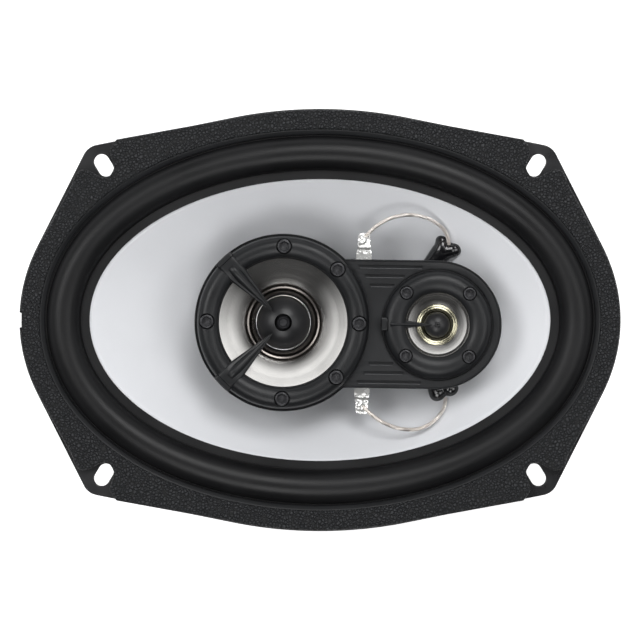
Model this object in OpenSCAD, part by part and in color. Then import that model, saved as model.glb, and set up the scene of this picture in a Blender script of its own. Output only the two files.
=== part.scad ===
/* [Cone and surround] */
// Half length of the visible cone, at its bonded edge
cone_a = 90; // [80:1:100]
// Half width of the visible cone, at its bonded edge
cone_b = 55; // [45:1:62]
// Depth from the cone's edge down to its neck
cone_depth = 34.4; // [28:0.2:38]
// Width of the surround's lip, bonded over the cone's margin
lip_w = 3.9; // [2:0.1:6]
// Width of the half roll
roll_w = 12.6; // [9:0.1:15]
// Height of the half roll above its feet
roll_h = 5.9; // [4:0.1:8]

/* [Basket] */
// Thickness of the pressed steel
sheet_t = 1.2; // [0.8:0.1:1.6]
// How far the flange reaches past the visible cone's edge
flange_d = 27.6; // [24:0.1:30]
// Half the distance between the ears' centres, lengthwise
ear_x = 86.1; // [80:0.1:90]
// Half the distance between the ears' centres, across
ear_y = 61.6; // [56:0.1:66]
// Corner radius of an ear
ear_r = 7; // [5:0.1:9]
// Half the distance between slots, lengthwise
slot_x = 84.5; // [80:0.1:88]
// Half the distance between slots, across
slot_y = 60.5; // [56:0.1:64]
// Width of a mounting slot
slot_w = 6; // [5:0.1:7]
// Length of a mounting slot, end to end
slot_l = 9.2; // [7:0.1:11]
// Slant of a mounting slot from the long axis, in degrees
slot_tilt = 58.6; // [0:0.1:90]
// Depth of the flange's rear face above the motor's rear face
mount_depth = 78; // [70:1:90]

/* [Voice coil and motor] */
// Inner radius of the voice coil's former
coil_r = 15.2; // [12:0.1:19]
// Radius of the ferrite ring
magnet_r = 47; // [40:1:55]
// Thickness of the ferrite ring
magnet_t = 16; // [10:1:20]
// Thickness of the top plate and of the yoke's plate
plate_t = 6; // [4:0.5:8]

/* [Pod] */
// Turn of the pod about the speaker's axis, in degrees
pod_turn = -0.85; // [-5:0.05:5]
// Lengthwise offset of the pod from the speaker's axis
pod_x = 0.6; // [-2:0.1:2]
// Offset of the pod across the speaker
pod_y = -1.2; // [-2:0.1:2]
// Distance of the midrange's axis from the speaker's axis
mid_x = -14.9; // [-18:0.1:-12]
// Distance of the tweeter's axis from the speaker's axis
tweeter_x = 45; // [40:0.1:50]
// Radius of the pod around the midrange
pod_mid_r = 34.5; // [33:0.1:36]
// Radius of the pod around the tweeter, which is half the pod's width
pod_tweeter_r = 25; // [22:0.1:28]
// Height of the pod's face above the mounting plane
face_z = 8; // [6:0.1:10]
// Wall thickness of the pod's mouldings
pod_wall = 1.4; // [1:0.1:2]

/* [Hidden] */
$fn = 96;
// Steps round an oval, by the direction of its outward normal
OVAL_STEPS = 96;
// Steps round a small rounded corner or dome
ARC_STEPS = 10;
// A cut reaches this far past a face
PAST = 1;
// Diametral play is twice this, where one piece drops into another
PLAY = 0.1;

// Surround and gasket, above the mounting plane
rubber_t = 0.8;
cone_t = 0.9;
cone_edge_z = 0.4;
cone_margin_w = lip_w - 0.3;
neck_r = coil_r + 0.4;
neck_z = cone_edge_z - cone_depth;
roll_d = lip_w + roll_w / 2;
seat_d = lip_w + roll_w;
seat_w = 4.6;
gasket_in_d = seat_d + 0.9;
bevel_w = 1.9;
bevel_z = 3.3;
gasket_out_d = flange_d - 0.6;
gasket_top = 5;

// Basket, from the flange down to the motor
pan_d = 16;
pan_z = -10;
funnel_a = cone_a + 8;
funnel_b = cone_b + 8;
ledge_z = -37;
ledge_r = 46;
dish_r = 40;
dish_z = -mount_depth + 2 * plate_t + magnet_t;
window_r = 48.5;
rivet_r = 30;
notch_h = 5.7;

// Motor
pole_r = coil_r - 0.7;
gap_r = coil_r + 1.6;
top_plate_r = 42.5;
yoke_r = 45;
magnet_top = dish_z - plate_t;
magnet_bottom = magnet_top - magnet_t;
motor_bottom = -mount_depth;
winding_h = 14;
post_r = 5;
post_bore_r = 2.6;
recess_r = 11;
recess_h = 6.5;
channel_w = 4.5;
channel_h = 3;
spacer_top = -30;
post_top = -24;

// Terminal board on the basket's lower wall
board_w = 26;
board_h = 9;
board_t = 1.6;
board_z = -44;
board_y = -(dish_r + sheet_t + 1.2);

// Pod, midrange and tweeter
tray_z = -1;
mid_bezel_r = 33.4;
mid_mouth_r = 25.3;
mid_bezel_z = 14;
mid_screw_pcd_r = 29.5;
mid_seat_r = 27.4;
mid_cup_r = 21.4;
mid_cup_z = -15.2;
mid_pole_r = 10.5;
MID_SCREWS = [0, 45, 90, 180, 270, 315];
tweeter_bezel_r = 21.2;
tweeter_seat_depth = 0.6;
tweeter_mouth_r = 12.4;
tweeter_bezel_z = 12.5;
tweeter_screw_pcd_r = 17.3;
TWEETER_SCREWS = [45, 135, 225, 315];
tweeter_cup_r = 11.6;
tweeter_cup_z = -4.2;
screw_head_r = 2.45;
screw_pocket_r = 2.9;
lug_x = 16.2;
lug_w = 6;
lug_t = 0.8;
stem_r = 12;

// Routes of the two braided leads and the two lead wires
TINSEL_R = 0.65;
TINSEL_UPPER = [[17.2, 31.2, 1.1], [18.4, 33.2, 1.5], [21.0, 35.9, 2.0], [24.0, 38.0, 2.5], [27.4, 39.7, 2.8],
    [31.3, 40.8, 2.8], [35.4, 41.1, 2.4], [39.4, 40.6, 1.5], [43.0, 39.4, 0.2], [46.2, 37.5, -1.5],
    [48.7, 35.3, -3.4], [50.1, 32.7, -5.1], [50.8, 29.8, -6.9]];
TINSEL_LOWER = [[16.0, -32.2, 1.1], [17.6, -34.6, 1.5], [20.2, -37.0, 1.9], [23.4, -39.3, 2.2], [27.0, -41.1, 2.3],
    [30.8, -42.3, 2.1], [34.7, -42.8, 1.5], [38.6, -42.5, 0.5], [42.2, -41.2, -0.8], [45.4, -39.0, -2.3],
    [47.8, -36.2, -4.0], [49.1, -33.4, -5.6], [49.5, -30.7, -7.1]];
WIRE_R = 0.8;
WIRE_GAP = 0.85;

// ---- Oval geometry: points named by the direction of the outward normal ----

// The point of the cone's edge ellipse whose outward normal points along phi, moved out by d
function oval_point(phi, d, a = cone_a, b = cone_b) =
    let (w = sqrt(pow(a * cos(phi), 2) + pow(b * sin(phi), 2)))
    [(a * a / w + d) * cos(phi), (b * b / w + d) * sin(phi)];
function oval(d, a = cone_a, b = cone_b) =
    [for (i = [0:OVAL_STEPS - 1]) oval_point(360 * i / OVAL_STEPS, d, a, b)];

// The flange's outline: the oval or an ear's corner, whichever reaches further along phi
function outline_point(phi, d, shrink = 0) =
    let (p = oval_point(phi, d - shrink), n = [cos(phi), sin(phi)],
        ear = [sign(n[0]) * ear_x, sign(n[1]) * ear_y] + (ear_r - shrink) * n)
    p * n >= ear * n ? p : ear;
function outline(d, shrink = 0) =
    [for (i = [0:2 * OVAL_STEPS - 1]) outline_point(180 * (i + 0.5) / OVAL_STEPS, d, shrink)];

// A point of the cone: share 0 is its round neck, share 1 its oval edge
function cone_point(phi, share) = (1 - share) * neck_r * [cos(phi), sin(phi)] + share * oval_point(phi, 0);
function cone_z(share) = neck_z + cone_depth * share + sin(180 * share);

// A closed solid through rings of points, each ring joined to the next and the last to the first
module ring_solid(rings) {
    n = len(rings[0]);
    m = len(rings);
    polyhedron(
        points = [for (ring = rings) each ring],
        faces = [for (k = [0:m - 1], i = [0:n - 1])
            let (a = k * n + i, b = k * n + (i + 1) % n, c = ((k + 1) % m) * n + (i + 1) % n,
                e = ((k + 1) % m) * n + i)
            each [[a, c, b], [a, e, c]]]);
}

// Rings of the oval at each [offset, height] of a closed profile
function oval_rings(profile) =
    [for (p = profile) [for (i = [0:OVAL_STEPS - 1])
        let (q = oval_point(360 * i / OVAL_STEPS, p[0])) [q[0], q[1], p[1]]]];

// ---- Round tubes along a route ----

function unit(v) = v / norm(v);
function tangent(route, i) = unit(route[min(i + 1, len(route) - 1)] - route[max(i - 1, 0)]);
// Side vectors carried along the route without twist
function sides(route, i = 0, last = [0, 0, 1]) =
    i >= len(route) ? [] :
    let (t = tangent(route, i), s = unit(last - (last * t) * t))
    concat([s], sides(route, i + 1, s));
// Catmull-Rom points through a route, so that the tube bends smoothly
function curve_point(p0, p1, p2, p3, t) =
    0.5 * (2 * p1 + (p2 - p0) * t + (2 * p0 - 5 * p1 + 4 * p2 - p3) * t * t
        + (3 * p1 - p0 - 3 * p2 + p3) * t * t * t);
function smooth(route, steps) =
    concat([for (i = [0:len(route) - 2], j = [0:steps - 1])
        curve_point(route[max(i - 1, 0)], route[i], route[i + 1], route[min(i + 2, len(route) - 1)], j / steps)],
        [route[len(route) - 1]]);

module tube(route, r, count = 8) {
    side = sides(route, 0, abs(tangent(route, 0)[2]) > 0.9 ? [1, 0, 0] : [0, 0, 1]);
    last = len(route) - 1;
    points = [for (k = [0:last], i = [0:count - 1])
        let (t = tangent(route, k), s = side[k], v = cross(t, s), q = 360 * i / count)
        route[k] + r * (cos(q) * s + sin(q) * v)];
    faces = concat(
        [for (k = [0:last - 1], i = [0:count - 1])
            let (a = k * count + i, b = k * count + (i + 1) % count, c = b + count, e = a + count)
            each [[a, c, b], [a, e, c]]],
        [[for (i = [0:count - 1]) i]],
        [[for (i = [count - 1:-1:0]) last * count + i]]);
    polyhedron(points = points, faces = faces);
}

// ---- Small repeated shapes ----

module ring(r_in, r_out, z0, z1) {
    translate([0, 0, z0]) difference() {
        cylinder(r = r_out, h = z1 - z0);
        translate([0, 0, -PAST]) cylinder(r = r_in, h = z1 - z0 + 2 * PAST);
    }
}
module disc(r, z0, z1) {
    translate([0, 0, z0]) cylinder(r = r, h = z1 - z0);
}
// A slot in each of the four ears, leaning from the ear's corner towards the flange's middle
module slots(r, length, z0, z1) {
    half = length / 2 - r;
    for (sx = [-1, 1], sy = [-1, 1]) translate([sx * slot_x, sy * slot_y, z0])
        rotate([0, 0, sx * sy * slot_tilt]) union() {
            for (s = [-1, 1]) translate([s * half, 0, 0]) cylinder(r = r, h = z1 - z0);
            translate([-half, -r, 0]) cube([2 * half, 2 * r, z1 - z0]);
        }
}
module on_pod() {
    translate([pod_x, pod_y, 0]) rotate([0, 0, pod_turn]) children();
}
// Undoes on_pod, for the pod's stem, which stands on the post
module on_post() {
    rotate([0, 0, -pod_turn]) translate([-pod_x, -pod_y, 0]) children();
}
module at_mid() {
    on_pod() translate([mid_x, 0, 0]) children();
}
module at_tweeter() {
    on_pod() translate([tweeter_x, 0, 0]) children();
}
module around(r, angles) {
    for (q = angles) rotate([0, 0, q]) translate([r, 0, 0]) children();
}
// A cap screw standing at z, its head up and its shank going down
module cap_screw(z, head_r, head_h, shank_r, shank_h) {
    translate([0, 0, z]) difference() {
        union() {
            cylinder(r = head_r, h = head_h);
            translate([0, 0, -shank_h]) cylinder(r = shank_r, h = shank_h + head_h / 2);
        }
        translate([0, 0, head_h * 0.45]) cylinder(r = head_r * 0.62, h = head_h, $fn = 6);
    }
}

// ---- Frame ----

LEG_ANGLES = [35.6, 144.4, 215.6, 324.4];
module window_area() {
    difference() {
        polygon(oval(0, funnel_a - 4, funnel_b - 3));
        circle(r = window_r);
        for (q = LEG_ANGLES) rotate([0, 0, q]) translate([0, -8]) square([140, 16]);
        for (q = [90, 270]) rotate([0, 0, q]) translate([0, -15]) square([140, 30]);
    }
}
module funnel(grow) {
    hull() {
        translate([0, 0, pan_z - sheet_t]) linear_extrude(sheet_t)
            polygon(oval(0, funnel_a + grow, funnel_b + grow));
        translate([0, 0, ledge_z]) cylinder(r = ledge_r - sheet_t + grow, h = 1, $fn = 96);
    }
}
module basket() {
    color("#161719") difference() {
        union() {
            linear_extrude(sheet_t) difference() {
                polygon(outline(flange_d));
                polygon(oval(pan_d));
            }
            translate([0, 0, pan_z - sheet_t]) linear_extrude(sheet_t - pan_z + sheet_t) difference() {
                polygon(oval(pan_d + sheet_t));
                polygon(oval(pan_d));
            }
            translate([0, 0, pan_z - sheet_t]) linear_extrude(sheet_t) difference() {
                polygon(oval(pan_d + sheet_t));
                polygon(oval(0, funnel_a, funnel_b));
            }
            difference() {
                funnel(sheet_t);
                funnel(0);
                translate([0, 0, ledge_z - PAST]) linear_extrude(pan_z - sheet_t - ledge_z + PAST) window_area();
            }
            ring(dish_r, ledge_r, ledge_z - sheet_t, ledge_z);
            ring(ledge_r - sheet_t, ledge_r, ledge_z - sheet_t, ledge_z + 0.6);
            ring(dish_r, dish_r + sheet_t, dish_z, ledge_z - sheet_t / 2);
            ring(gap_r + 3, dish_r + sheet_t, dish_z, dish_z + sheet_t);
            translate([-board_w / 2, board_y, board_z - board_h / 2])
                cube([board_w, -board_y - dish_r + 6, board_h]);
        }
        disc(dish_r, dish_z + sheet_t, ledge_z - sheet_t + 0.01);
        slots(slot_w / 2, slot_l, -PAST, sheet_t + PAST);
        translate([-cone_a - flange_d - 1, -notch_h / 2, -PAST]) cube([2, notch_h, sheet_t + 2 * PAST]);
        around(rivet_r, [45:90:315]) disc(2.05, dish_z - PAST, dish_z + sheet_t + PAST);
        for (sx = [-1, 1]) translate([sx * 7, -dish_r + PAST, board_z]) rotate([90, 0, 0])
            cylinder(r = 1.05, h = 6);
    }
}

// The rubberised gasket lies on the flange and over the surround's outer lip, and is cut away at the ears
EAR_CUT = [[82.6, 56.4], [80.4, 59.8], [81.3, 63], [82, 66.2], [80.9, 68.4], [79.2, 70.6], [79, 80], [110, 80],
    [110, 52], [96.6, 53.2], [95.5, 56.4], [93.6, 58.4], [91, 58.6], [88.4, 57.4], [85, 55.8]];
module gasket() {
    color("#26272a") difference() {
        translate([0, 0, sheet_t]) linear_extrude(gasket_top - sheet_t) difference() {
            polygon(outline(flange_d, flange_d - gasket_out_d));
            polygon(oval(gasket_in_d));
            for (sx = [-1, 1], sy = [-1, 1]) scale([sx, sy]) polygon(EAR_CUT);
        }
        linear_extrude(sheet_t + rubber_t) polygon(oval(seat_d + seat_w + PLAY));
        translate([0, 0, bevel_z]) linear_extrude(gasket_top) polygon(oval(gasket_in_d + bevel_w));
        slots(slot_w / 2 + 0.4, slot_l + 0.8, 0, gasket_top + PAST);
        translate([-cone_a - flange_d - 1, -notch_h / 2, 0]) cube([2.2, notch_h, gasket_top + PAST]);
    }
}

// ---- Moving system of the woofer ----

// The roll's middle line runs from the cone's lip over a half roll to the flange
function roll_profile(side) = [for (i = [0:ARC_STEPS])
    let (q = 180 - 180 * i / ARC_STEPS, foot = cone_edge_z + (sheet_t - cone_edge_z) * i / ARC_STEPS)
    [roll_d + (roll_w / 2 + side * rubber_t / 2) * cos(q),
        foot + roll_h * sin(q) + (1 + side) * rubber_t / 2]];
module surround() {
    top = concat([[0, cone_edge_z + rubber_t]], roll_profile(1), [[seat_d + seat_w, sheet_t + rubber_t]]);
    bottom = concat([[seat_d + seat_w, sheet_t]], [for (i = [ARC_STEPS:-1:0]) roll_profile(-1)[i]],
        [[0, cone_edge_z]]);
    color("#1b1c1e") ring_solid(oval_rings(concat(top, bottom)));
}
module cone() {
    shares = [0, 0.2, 0.4, 0.6, 0.8, 1];
    function face_ring(share, down) = [for (i = [0:OVAL_STEPS - 1])
        let (q = cone_point(360 * i / OVAL_STEPS, share)) [q[0], q[1], cone_z(share) - down]];
    margin = oval_rings([[cone_margin_w, cone_edge_z], [cone_margin_w, cone_edge_z - cone_t]]);
    color("#d9dbe0") ring_solid(concat(
        [for (s = shares) face_ring(s, 0)], margin,
        [for (i = [len(shares) - 1:-1:0]) face_ring(shares[i], cone_t * 1.2)]));
}
module spider() {
    inner_r = coil_r + 0.35 + PLAY;
    outer_r = 44;
    waves = 6;
    steps = 60;
    inner_flat = 2.5;
    outer_flat = 4.6;
    function wave(k) = let (r = inner_r + (outer_r - inner_r) * k / steps,
        q = (r - inner_r - inner_flat) / (outer_r - inner_r - inner_flat - outer_flat))
        [r, ledge_z + (q <= 0 || q >= 1 ? 0 : 1.3 * sin(360 * waves * q) * min(1, 6 * q, 6 * (1 - q)))];
    color("#b98f4a") rotate_extrude() polygon(concat(
        [for (k = [0:steps]) wave(k)], [for (k = [steps:-1:0]) wave(k) + [0, 0.5]]));
}
module voice_coil_former() {
    color("#a8753c") ring(coil_r, coil_r + 0.3, -60, neck_z + 0.5);
}
module voice_coil_winding() {
    top = dish_z - plate_t / 2 + winding_h / 2;
    color("#b5652f") ring(coil_r + 0.3, coil_r + 0.95, top - winding_h, top);
}
// Glossy black adhesive over each joint of a braided lead with the coil's wires on the cone
module dab(points) {
    for (i = [0:len(points) - 2]) hull() for (p = [points[i], points[i + 1]])
        translate([p[0], p[1], p[2]]) scale([1, 1, 0.8]) sphere(r = p[3], $fn = 20);
}
module lead_dab_upper() {
    color("#0b0b0c") dab([[42.2, 21.4, -12.2, 2.0], [48.4, 28.2, -9.4, 2.4], [48.6, 31.4, -8.9, 1.5]]);
    color("#0b0b0c") dab([[48.4, 28.2, -9.4, 2.4], [53.0, 27.2, -8.8, 2.2]]);
}
module lead_dab_lower() {
    color("#0b0b0c") dab([[42.0, -22.0, -12.2, 1.9], [46.8, -29.2, -9.7, 2.4]]);
    color("#0b0b0c") dab([[46.8, -29.2, -9.7, 2.4], [51.6, -28.2, -9.0, 2.1]]);
}
module tinsel_lead_upper() {
    color("#c9c5bd") tube(smooth(TINSEL_UPPER, 2), TINSEL_R);
}
module tinsel_lead_lower() {
    color("#c9c5bd") tube(smooth(TINSEL_LOWER, 2), TINSEL_R);
}

// ---- Motor ----

module top_plate() {
    color("#b9bcc0") difference() {
        ring(gap_r, top_plate_r, magnet_top, dish_z);
        around(rivet_r, [45:90:315]) disc(2, magnet_top - PAST, dish_z + PAST);
    }
}
module ferrite_magnet() {
    color("#2c2b2c") ring(coil_r + 7, magnet_r, magnet_bottom, magnet_top);
}
module pole_yoke() {
    color("#b9bcc0") difference() {
        union() {
            disc(yoke_r, motor_bottom, magnet_bottom);
            disc(pole_r, magnet_bottom - PAST, dish_z);
        }
        disc(post_r + PLAY, motor_bottom - PAST, dish_z + PAST);
        disc(recess_r, motor_bottom - PAST, motor_bottom + recess_h);
        translate([-channel_w / 2, -yoke_r - PAST, motor_bottom - PAST])
            cube([channel_w, yoke_r + PAST, channel_h + PAST]);
    }
}
module plate_rivets() {
    color("#c4c6c8") around(rivet_r, [45:90:315]) {
        disc(1.95, magnet_top + 2, dish_z + sheet_t + 0.4);
        disc(3.4, dish_z + sheet_t, dish_z + sheet_t + 1.3);
    }
}
module post_tube() {
    color("#c9cacc") ring(post_bore_r, post_r, motor_bottom + 2.4, post_top);
}
module spacer_sleeve() {
    color("#1c1d1f") ring(post_r + PLAY, 8.5, dish_z, spacer_top);
}
module post_washer() {
    color("#c4c6c8") ring(post_r + PLAY, 9.8, motor_bottom + recess_h - 1, motor_bottom + recess_h);
}
module post_nut() {
    color("#b0b2b5") difference() {
        translate([0, 0, motor_bottom + 2.8]) cylinder(r = 9, h = recess_h - 1 - 2.8, $fn = 6);
        disc(post_r + PLAY / 2, motor_bottom, motor_bottom + recess_h);
    }
}

// ---- Rear terminals and the wires that run from them through the hollow post to the pod ----

module terminal_board() {
    color("#6b3f22") difference() {
        translate([-board_w / 2, board_y - board_t, board_z - board_h / 2]) cube([board_w, board_t, board_h]);
        for (sx = [-1, 1]) translate([sx * 7, board_y + PAST, board_z]) rotate([90, 0, 0])
            cylinder(r = 1.05, h = board_t + 2 * PAST);
    }
}
// A push-on tab: a foot riveted to the board, a blade standing out from it and a hole in the blade
module tab(x, w, length) {
    foot_y = board_y - board_t;
    difference() {
        union() {
            translate([x - w / 2, foot_y - 0.8, board_z - 4]) cube([w, 0.8, 8]);
            translate([x - w / 2, foot_y - length, board_z - 4]) cube([w, length, 0.8]);
        }
        translate([x, foot_y + PAST, board_z]) rotate([90, 0, 0]) cylinder(r = 1.05, h = 4);
        translate([x, foot_y - length + 4, board_z - 4 - PAST]) cylinder(r = 0.85, h = 0.8 + 2 * PAST);
    }
}
module terminal_positive() {
    color("#d3cfc4") tab(7, 6.35, 13);
}
module terminal_negative() {
    color("#d3cfc4") tab(-7, 4.75, 13);
}
module terminal_rivets() {
    color("#c4c6c8") for (sx = [-1, 1]) translate([sx * 7, board_y - board_t - 0.8, board_z]) rotate([90, 0, 0]) {
        cylinder(r = 1.9, h = 0.8);
        translate([0, 0, -4.6]) cylinder(r = 1, h = 5);
    }
}
// s is 1 for the positive wire and -1 for the negative one
function wire_route(s) = let (g = s * WIRE_GAP)
    [[s * 4.6, board_y - board_t - 1.5, board_z - 1.2], [s * 3.6, board_y - board_t - 2.2, board_z - 3.6],
    [s * 2.2, -48.6, -53], [g, -48.6, -60], [g, -48.6, -68], [g, -48.5, -73.5], [g, -47.3, -75.9],
    [g, -44.5, -77], [g, -38, -77], [g, -26, -77], [g, -13, -77], [g, -6, -77], [g, -2.8, -76.7],
    [g, -0.9, -75.4], [g, 0, -73.2], [g, 0, -68], [g, 0, -55], [g, 0, -40], [g, 0, -28], [g + 0.3, s * 0.2, -24],
    [g + 3.4, s * 1.6, -20.6], [7.4, s * 3.6, -18.4], [9.4, s * 4.6, -15.8], [9.9, s * 5.1, -11],
    [9.7, s * 5.4, -5], [9.8, s * 5.6, -1], [11, s * 8.6, 1.6], [13.6, s * 15, 1.8], [15.8, s * 18.4, 1.6],
    [16.6, s * 21, 1.2]];
module lead_wire_positive() {
    color("#8f1d1a") tube(smooth(wire_route(1), 2), WIRE_R);
}
module lead_wire_negative() {
    color("#19191b") tube(smooth(wire_route(-1), 2), WIRE_R);
}

// ---- Pod ----

module pod_shape(shrink = 0) {
    translate([mid_x, 0]) circle(r = pod_mid_r - shrink);
    translate([mid_x, -(pod_tweeter_r - shrink)])
        square([tweeter_x - mid_x, 2 * (pod_tweeter_r - shrink)]);
    translate([tweeter_x, 0]) circle(r = pod_tweeter_r - shrink);
}
POD_BOSSES = [[mid_x - 20.9, 20.9], [mid_x - 20.9, -20.9], [24.4, 20.4], [24.4, -20.4]];
// The lower moulding: a shallow tray with a cup for each motor and a hollow stem over the post
module pod_base() {
    color("#1b1c1f") on_pod() difference() {
        union() {
            translate([0, 0, tray_z]) linear_extrude(1.2) pod_shape();
            linear_extrude(3) difference() {
                pod_shape(pod_wall + PLAY);
                pod_shape(2 * pod_wall + PLAY);
            }
            translate([mid_x, 0, 0]) disc(mid_cup_r + 1.2, mid_cup_z - 1.2, tray_z + PAST);
            translate([tweeter_x, 0, 0]) disc(tweeter_cup_r + 1.2, tweeter_cup_z - 1.2, tray_z + PAST);
            on_post() rotate_extrude() polygon([[0, spacer_top], [7.5, spacer_top], [8.5, post_top - 2],
                [stem_r + 1.2, -17.5], [stem_r + 1.2, tray_z + PAST], [0, tray_z + PAST]]);
            for (p = POD_BOSSES) translate([p[0], p[1], 0]) disc(2.6, tray_z, 2.4);
        }
        translate([mid_x, 0, 0]) disc(mid_cup_r, mid_cup_z, 4);
        translate([tweeter_x, 0, 0]) disc(tweeter_cup_r, tweeter_cup_z, 4);
        on_post() rotate_extrude() polygon([[0, post_top - PAST], [post_r + 0.3, post_top - PAST],
            [post_r + 0.3, post_top + 0.4], [stem_r, -16.8], [stem_r, 4], [0, 4]]);
        on_post() disc(post_r + PLAY / 2, spacer_top - PAST, post_top);
        for (p = POD_BOSSES) translate([p[0], p[1], 0]) {
            disc(1.35, tray_z - PAST, 4);
            disc(2.1, tray_z - PAST, tray_z + 1.4);
        }
        for (s = [-1, 1]) translate([lug_x - lug_w / 2 - PLAY, s > 0 ? 19 : -29, -0.3])
            cube([lug_w + 2 * PLAY, 10, 4]);
    }
}
// The upper moulding: the wall and the ribbed face, open over the midrange and the tweeter
RIB_Y = [22.4, 18.8, 15.2];
RIB_FROM = [14.6, 17, 19];
RIB_TO = [38.6, 31.7, 27.7];
module pod_housing() {
    color("#202124") on_pod() difference() {
        union() {
            translate([0, 0, tray_z + 1.2 + PLAY / 2]) linear_extrude(face_z - tray_z - 1.2 - PLAY / 2) difference() {
                pod_shape();
                pod_shape(pod_wall);
            }
            translate([0, 0, face_z - 1.2]) linear_extrude(1.2) pod_shape();
            translate([0, 0, face_z - 0.5]) linear_extrude(0.9) difference() {
                pod_shape();
                pod_shape(0.8);
            }
            for (p = POD_BOSSES) translate([p[0], p[1], 0]) disc(2.6, 2.5, face_z - 0.6);
            translate([mid_x, 0, 0]) around(mid_screw_pcd_r, MID_SCREWS) disc(2.4, 3.4, face_z - 0.6);
            translate([tweeter_x, 0, 0]) around(tweeter_screw_pcd_r, TWEETER_SCREWS) disc(2.2, 3.4, face_z - 0.8);
        }
        translate([mid_x, 0, 0]) {
            disc(mid_seat_r + PLAY, face_z - 3, face_z + PAST);
            disc(mid_bezel_r + 0.2, face_z, face_z + PAST);
        }
        translate([tweeter_x, 0, 0]) {
            disc(14, face_z - 3, face_z + PAST);
            disc(tweeter_bezel_r + 0.6, face_z - tweeter_seat_depth, face_z + PAST);
        }
        for (s = [-1, 1], i = [0:2]) translate([0, s * RIB_Y[i], face_z - 0.5]) {
            translate([RIB_FROM[i], -0.6, 0]) cube([RIB_TO[i] - RIB_FROM[i], 1.2, PAST]);
            for (x = [RIB_FROM[i], RIB_TO[i]]) translate([x, 0, 0]) cylinder(r = 0.6, h = PAST, $fn = 24);
        }
        for (p = POD_BOSSES) translate([p[0], p[1], 0]) disc(1.2, 2, face_z - 2);
        translate([mid_x, 0, 0]) around(mid_screw_pcd_r, MID_SCREWS) disc(1.2, 3, face_z + PAST);
        translate([tweeter_x, 0, 0]) around(tweeter_screw_pcd_r, TWEETER_SCREWS) disc(1.15, 3, face_z + PAST);
        for (s = [-1, 1]) translate([lug_x - lug_w / 2 - PLAY, s > 0 ? 22 : -28, -0.5])
            cube([lug_w + 2 * PLAY, 6, lug_t + 0.8]);
    }
}
module pod_screws() {
    color("#3a3b3d") on_pod() for (p = POD_BOSSES) translate([p[0], p[1], 0]) mirror([0, 0, 1])
        cap_screw(-tray_z - 1.4, 1.95, 1.3, 1.15, 5.4);
}
// A tinned tab from inside the pod out through its wall, with a folded end and a mound of solder
module solder_lug(s) {
    on_pod() translate([lug_x, 0, 0]) difference() {
        union() {
            translate([-lug_w / 2, s > 0 ? 19.4 : -35.4, -0.2]) cube([lug_w, 16, lug_t]);
            translate([-lug_w / 2 + 0.6, s > 0 ? 29.4 : -34.4, lug_t - 0.3]) cube([lug_w - 1.2, 5, 1]);
        }
        translate([0, s * 27.4, -PAST]) cylinder(r = 0.9, h = 3);
    }
}
module solder_lug_upper() {
    color("#d6d6d3") solder_lug(1);
}
module solder_lug_lower() {
    color("#d6d6d3") solder_lug(-1);
}
module capacitor(x, r, length) {
    on_pod() translate([x, length / 2, 3.5]) rotate([90, 0, 0]) union() {
        cylinder(r = r, h = length);
        translate([0, 0, -2]) cylinder(r = 0.35, h = length + 4);
    }
}
module mid_capacitor() {
    color("#2a4f8f") capacitor(20.4, 3.1, 13);
}
module tweeter_capacitor() {
    color("#2a4f8f") capacitor(28.6, 2.6, 11);
}

// ---- Midrange ----

// A rounded ring: an arc from the foot at r_out over the crown to the mouth at r_in
function crown(r_in, r_out, foot, top, mouth) = [for (i = [0:2 * ARC_STEPS])
    let (q = 180 * i / (2 * ARC_STEPS), mid = (r_in + r_out) / 2, half = (r_out - r_in) / 2,
        base = foot + 1 + (mouth - foot - 1) * i / (2 * ARC_STEPS))
    [mid + half * cos(q), base + (top - base) * sin(q)]];
// A block at the ring's outer edge, a narrower step inside it and a round spike towards the middle
module fin(r_out, w, block, step, top, spike_r, r_tip, z_tip) {
    r_step = r_out - block - step;
    z_base = top - 0.6 - spike_r;
    run = r_step + 1.2 - r_tip;
    slope = atan((z_base - z_tip) / run);
    translate([0, 0, face_z + 0.6]) linear_extrude(top - face_z - 0.6)
        translate([r_out - block, -w / 2]) square([block, w]);
    translate([0, 0, face_z + 0.6]) linear_extrude(top - face_z - 1.2)
        polygon([[r_out - block + 0.1, -w * 0.46], [r_out - block + 0.1, w * 0.46], [r_step, w * 0.38],
            [r_step, -w * 0.38]]);
    translate([r_step + 1.2, 0, z_base]) rotate([0, -90 - slope, 0])
        cylinder(r1 = spike_r, r2 = 0.35, h = run / cos(slope), $fn = 48);
}
module mid_bezel() {
    color("#17181a") at_mid() difference() {
        union() {
            rotate_extrude() polygon(concat([[mid_seat_r, 10.3], [mid_seat_r, face_z], [mid_bezel_r, face_z]],
                crown(mid_mouth_r, mid_bezel_r, face_z, mid_bezel_z, 11.4), [[mid_mouth_r, 10.3]]));
            for (q = [134, 226]) rotate([0, 0, q]) fin(mid_bezel_r, 7.6, 2.2, 4, 14.8, 1.8, 6.2, 9);
        }
        around(mid_screw_pcd_r, MID_SCREWS) {
            disc(screw_pocket_r, 11.3, mid_bezel_z + PAST);
            disc(1.3, face_z - PAST, mid_bezel_z);
        }
    }
}
module mid_bezel_screws() {
    color("#141516") at_mid() around(mid_screw_pcd_r, MID_SCREWS)
        cap_screw(11.3, screw_head_r, 2.8, 1.1, 7);
}
// The bullet in front of the pole, with a deep hole over its screw
module mid_phase_plug() {
    dome = [for (i = [0:ARC_STEPS]) let (q = 72 * i / ARC_STEPS) [10.5 * cos(q), 1.4 + 7.2 * sin(q)]];
    color("#121214") at_mid() difference() {
        rotate_extrude() polygon(concat([[0, -3], [9.6, -3], [9.6, 0.6], [10.5, 1]], dome,
            [[0, dome[ARC_STEPS][1]]]));
        disc(3.4, 2.2, 12);
        disc(1.6, -5, 12);
    }
}
module mid_plug_screw() {
    color("#2a2b2c") at_mid() cap_screw(2.2, 2.7, 2, 1.5, 11);
}
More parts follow.
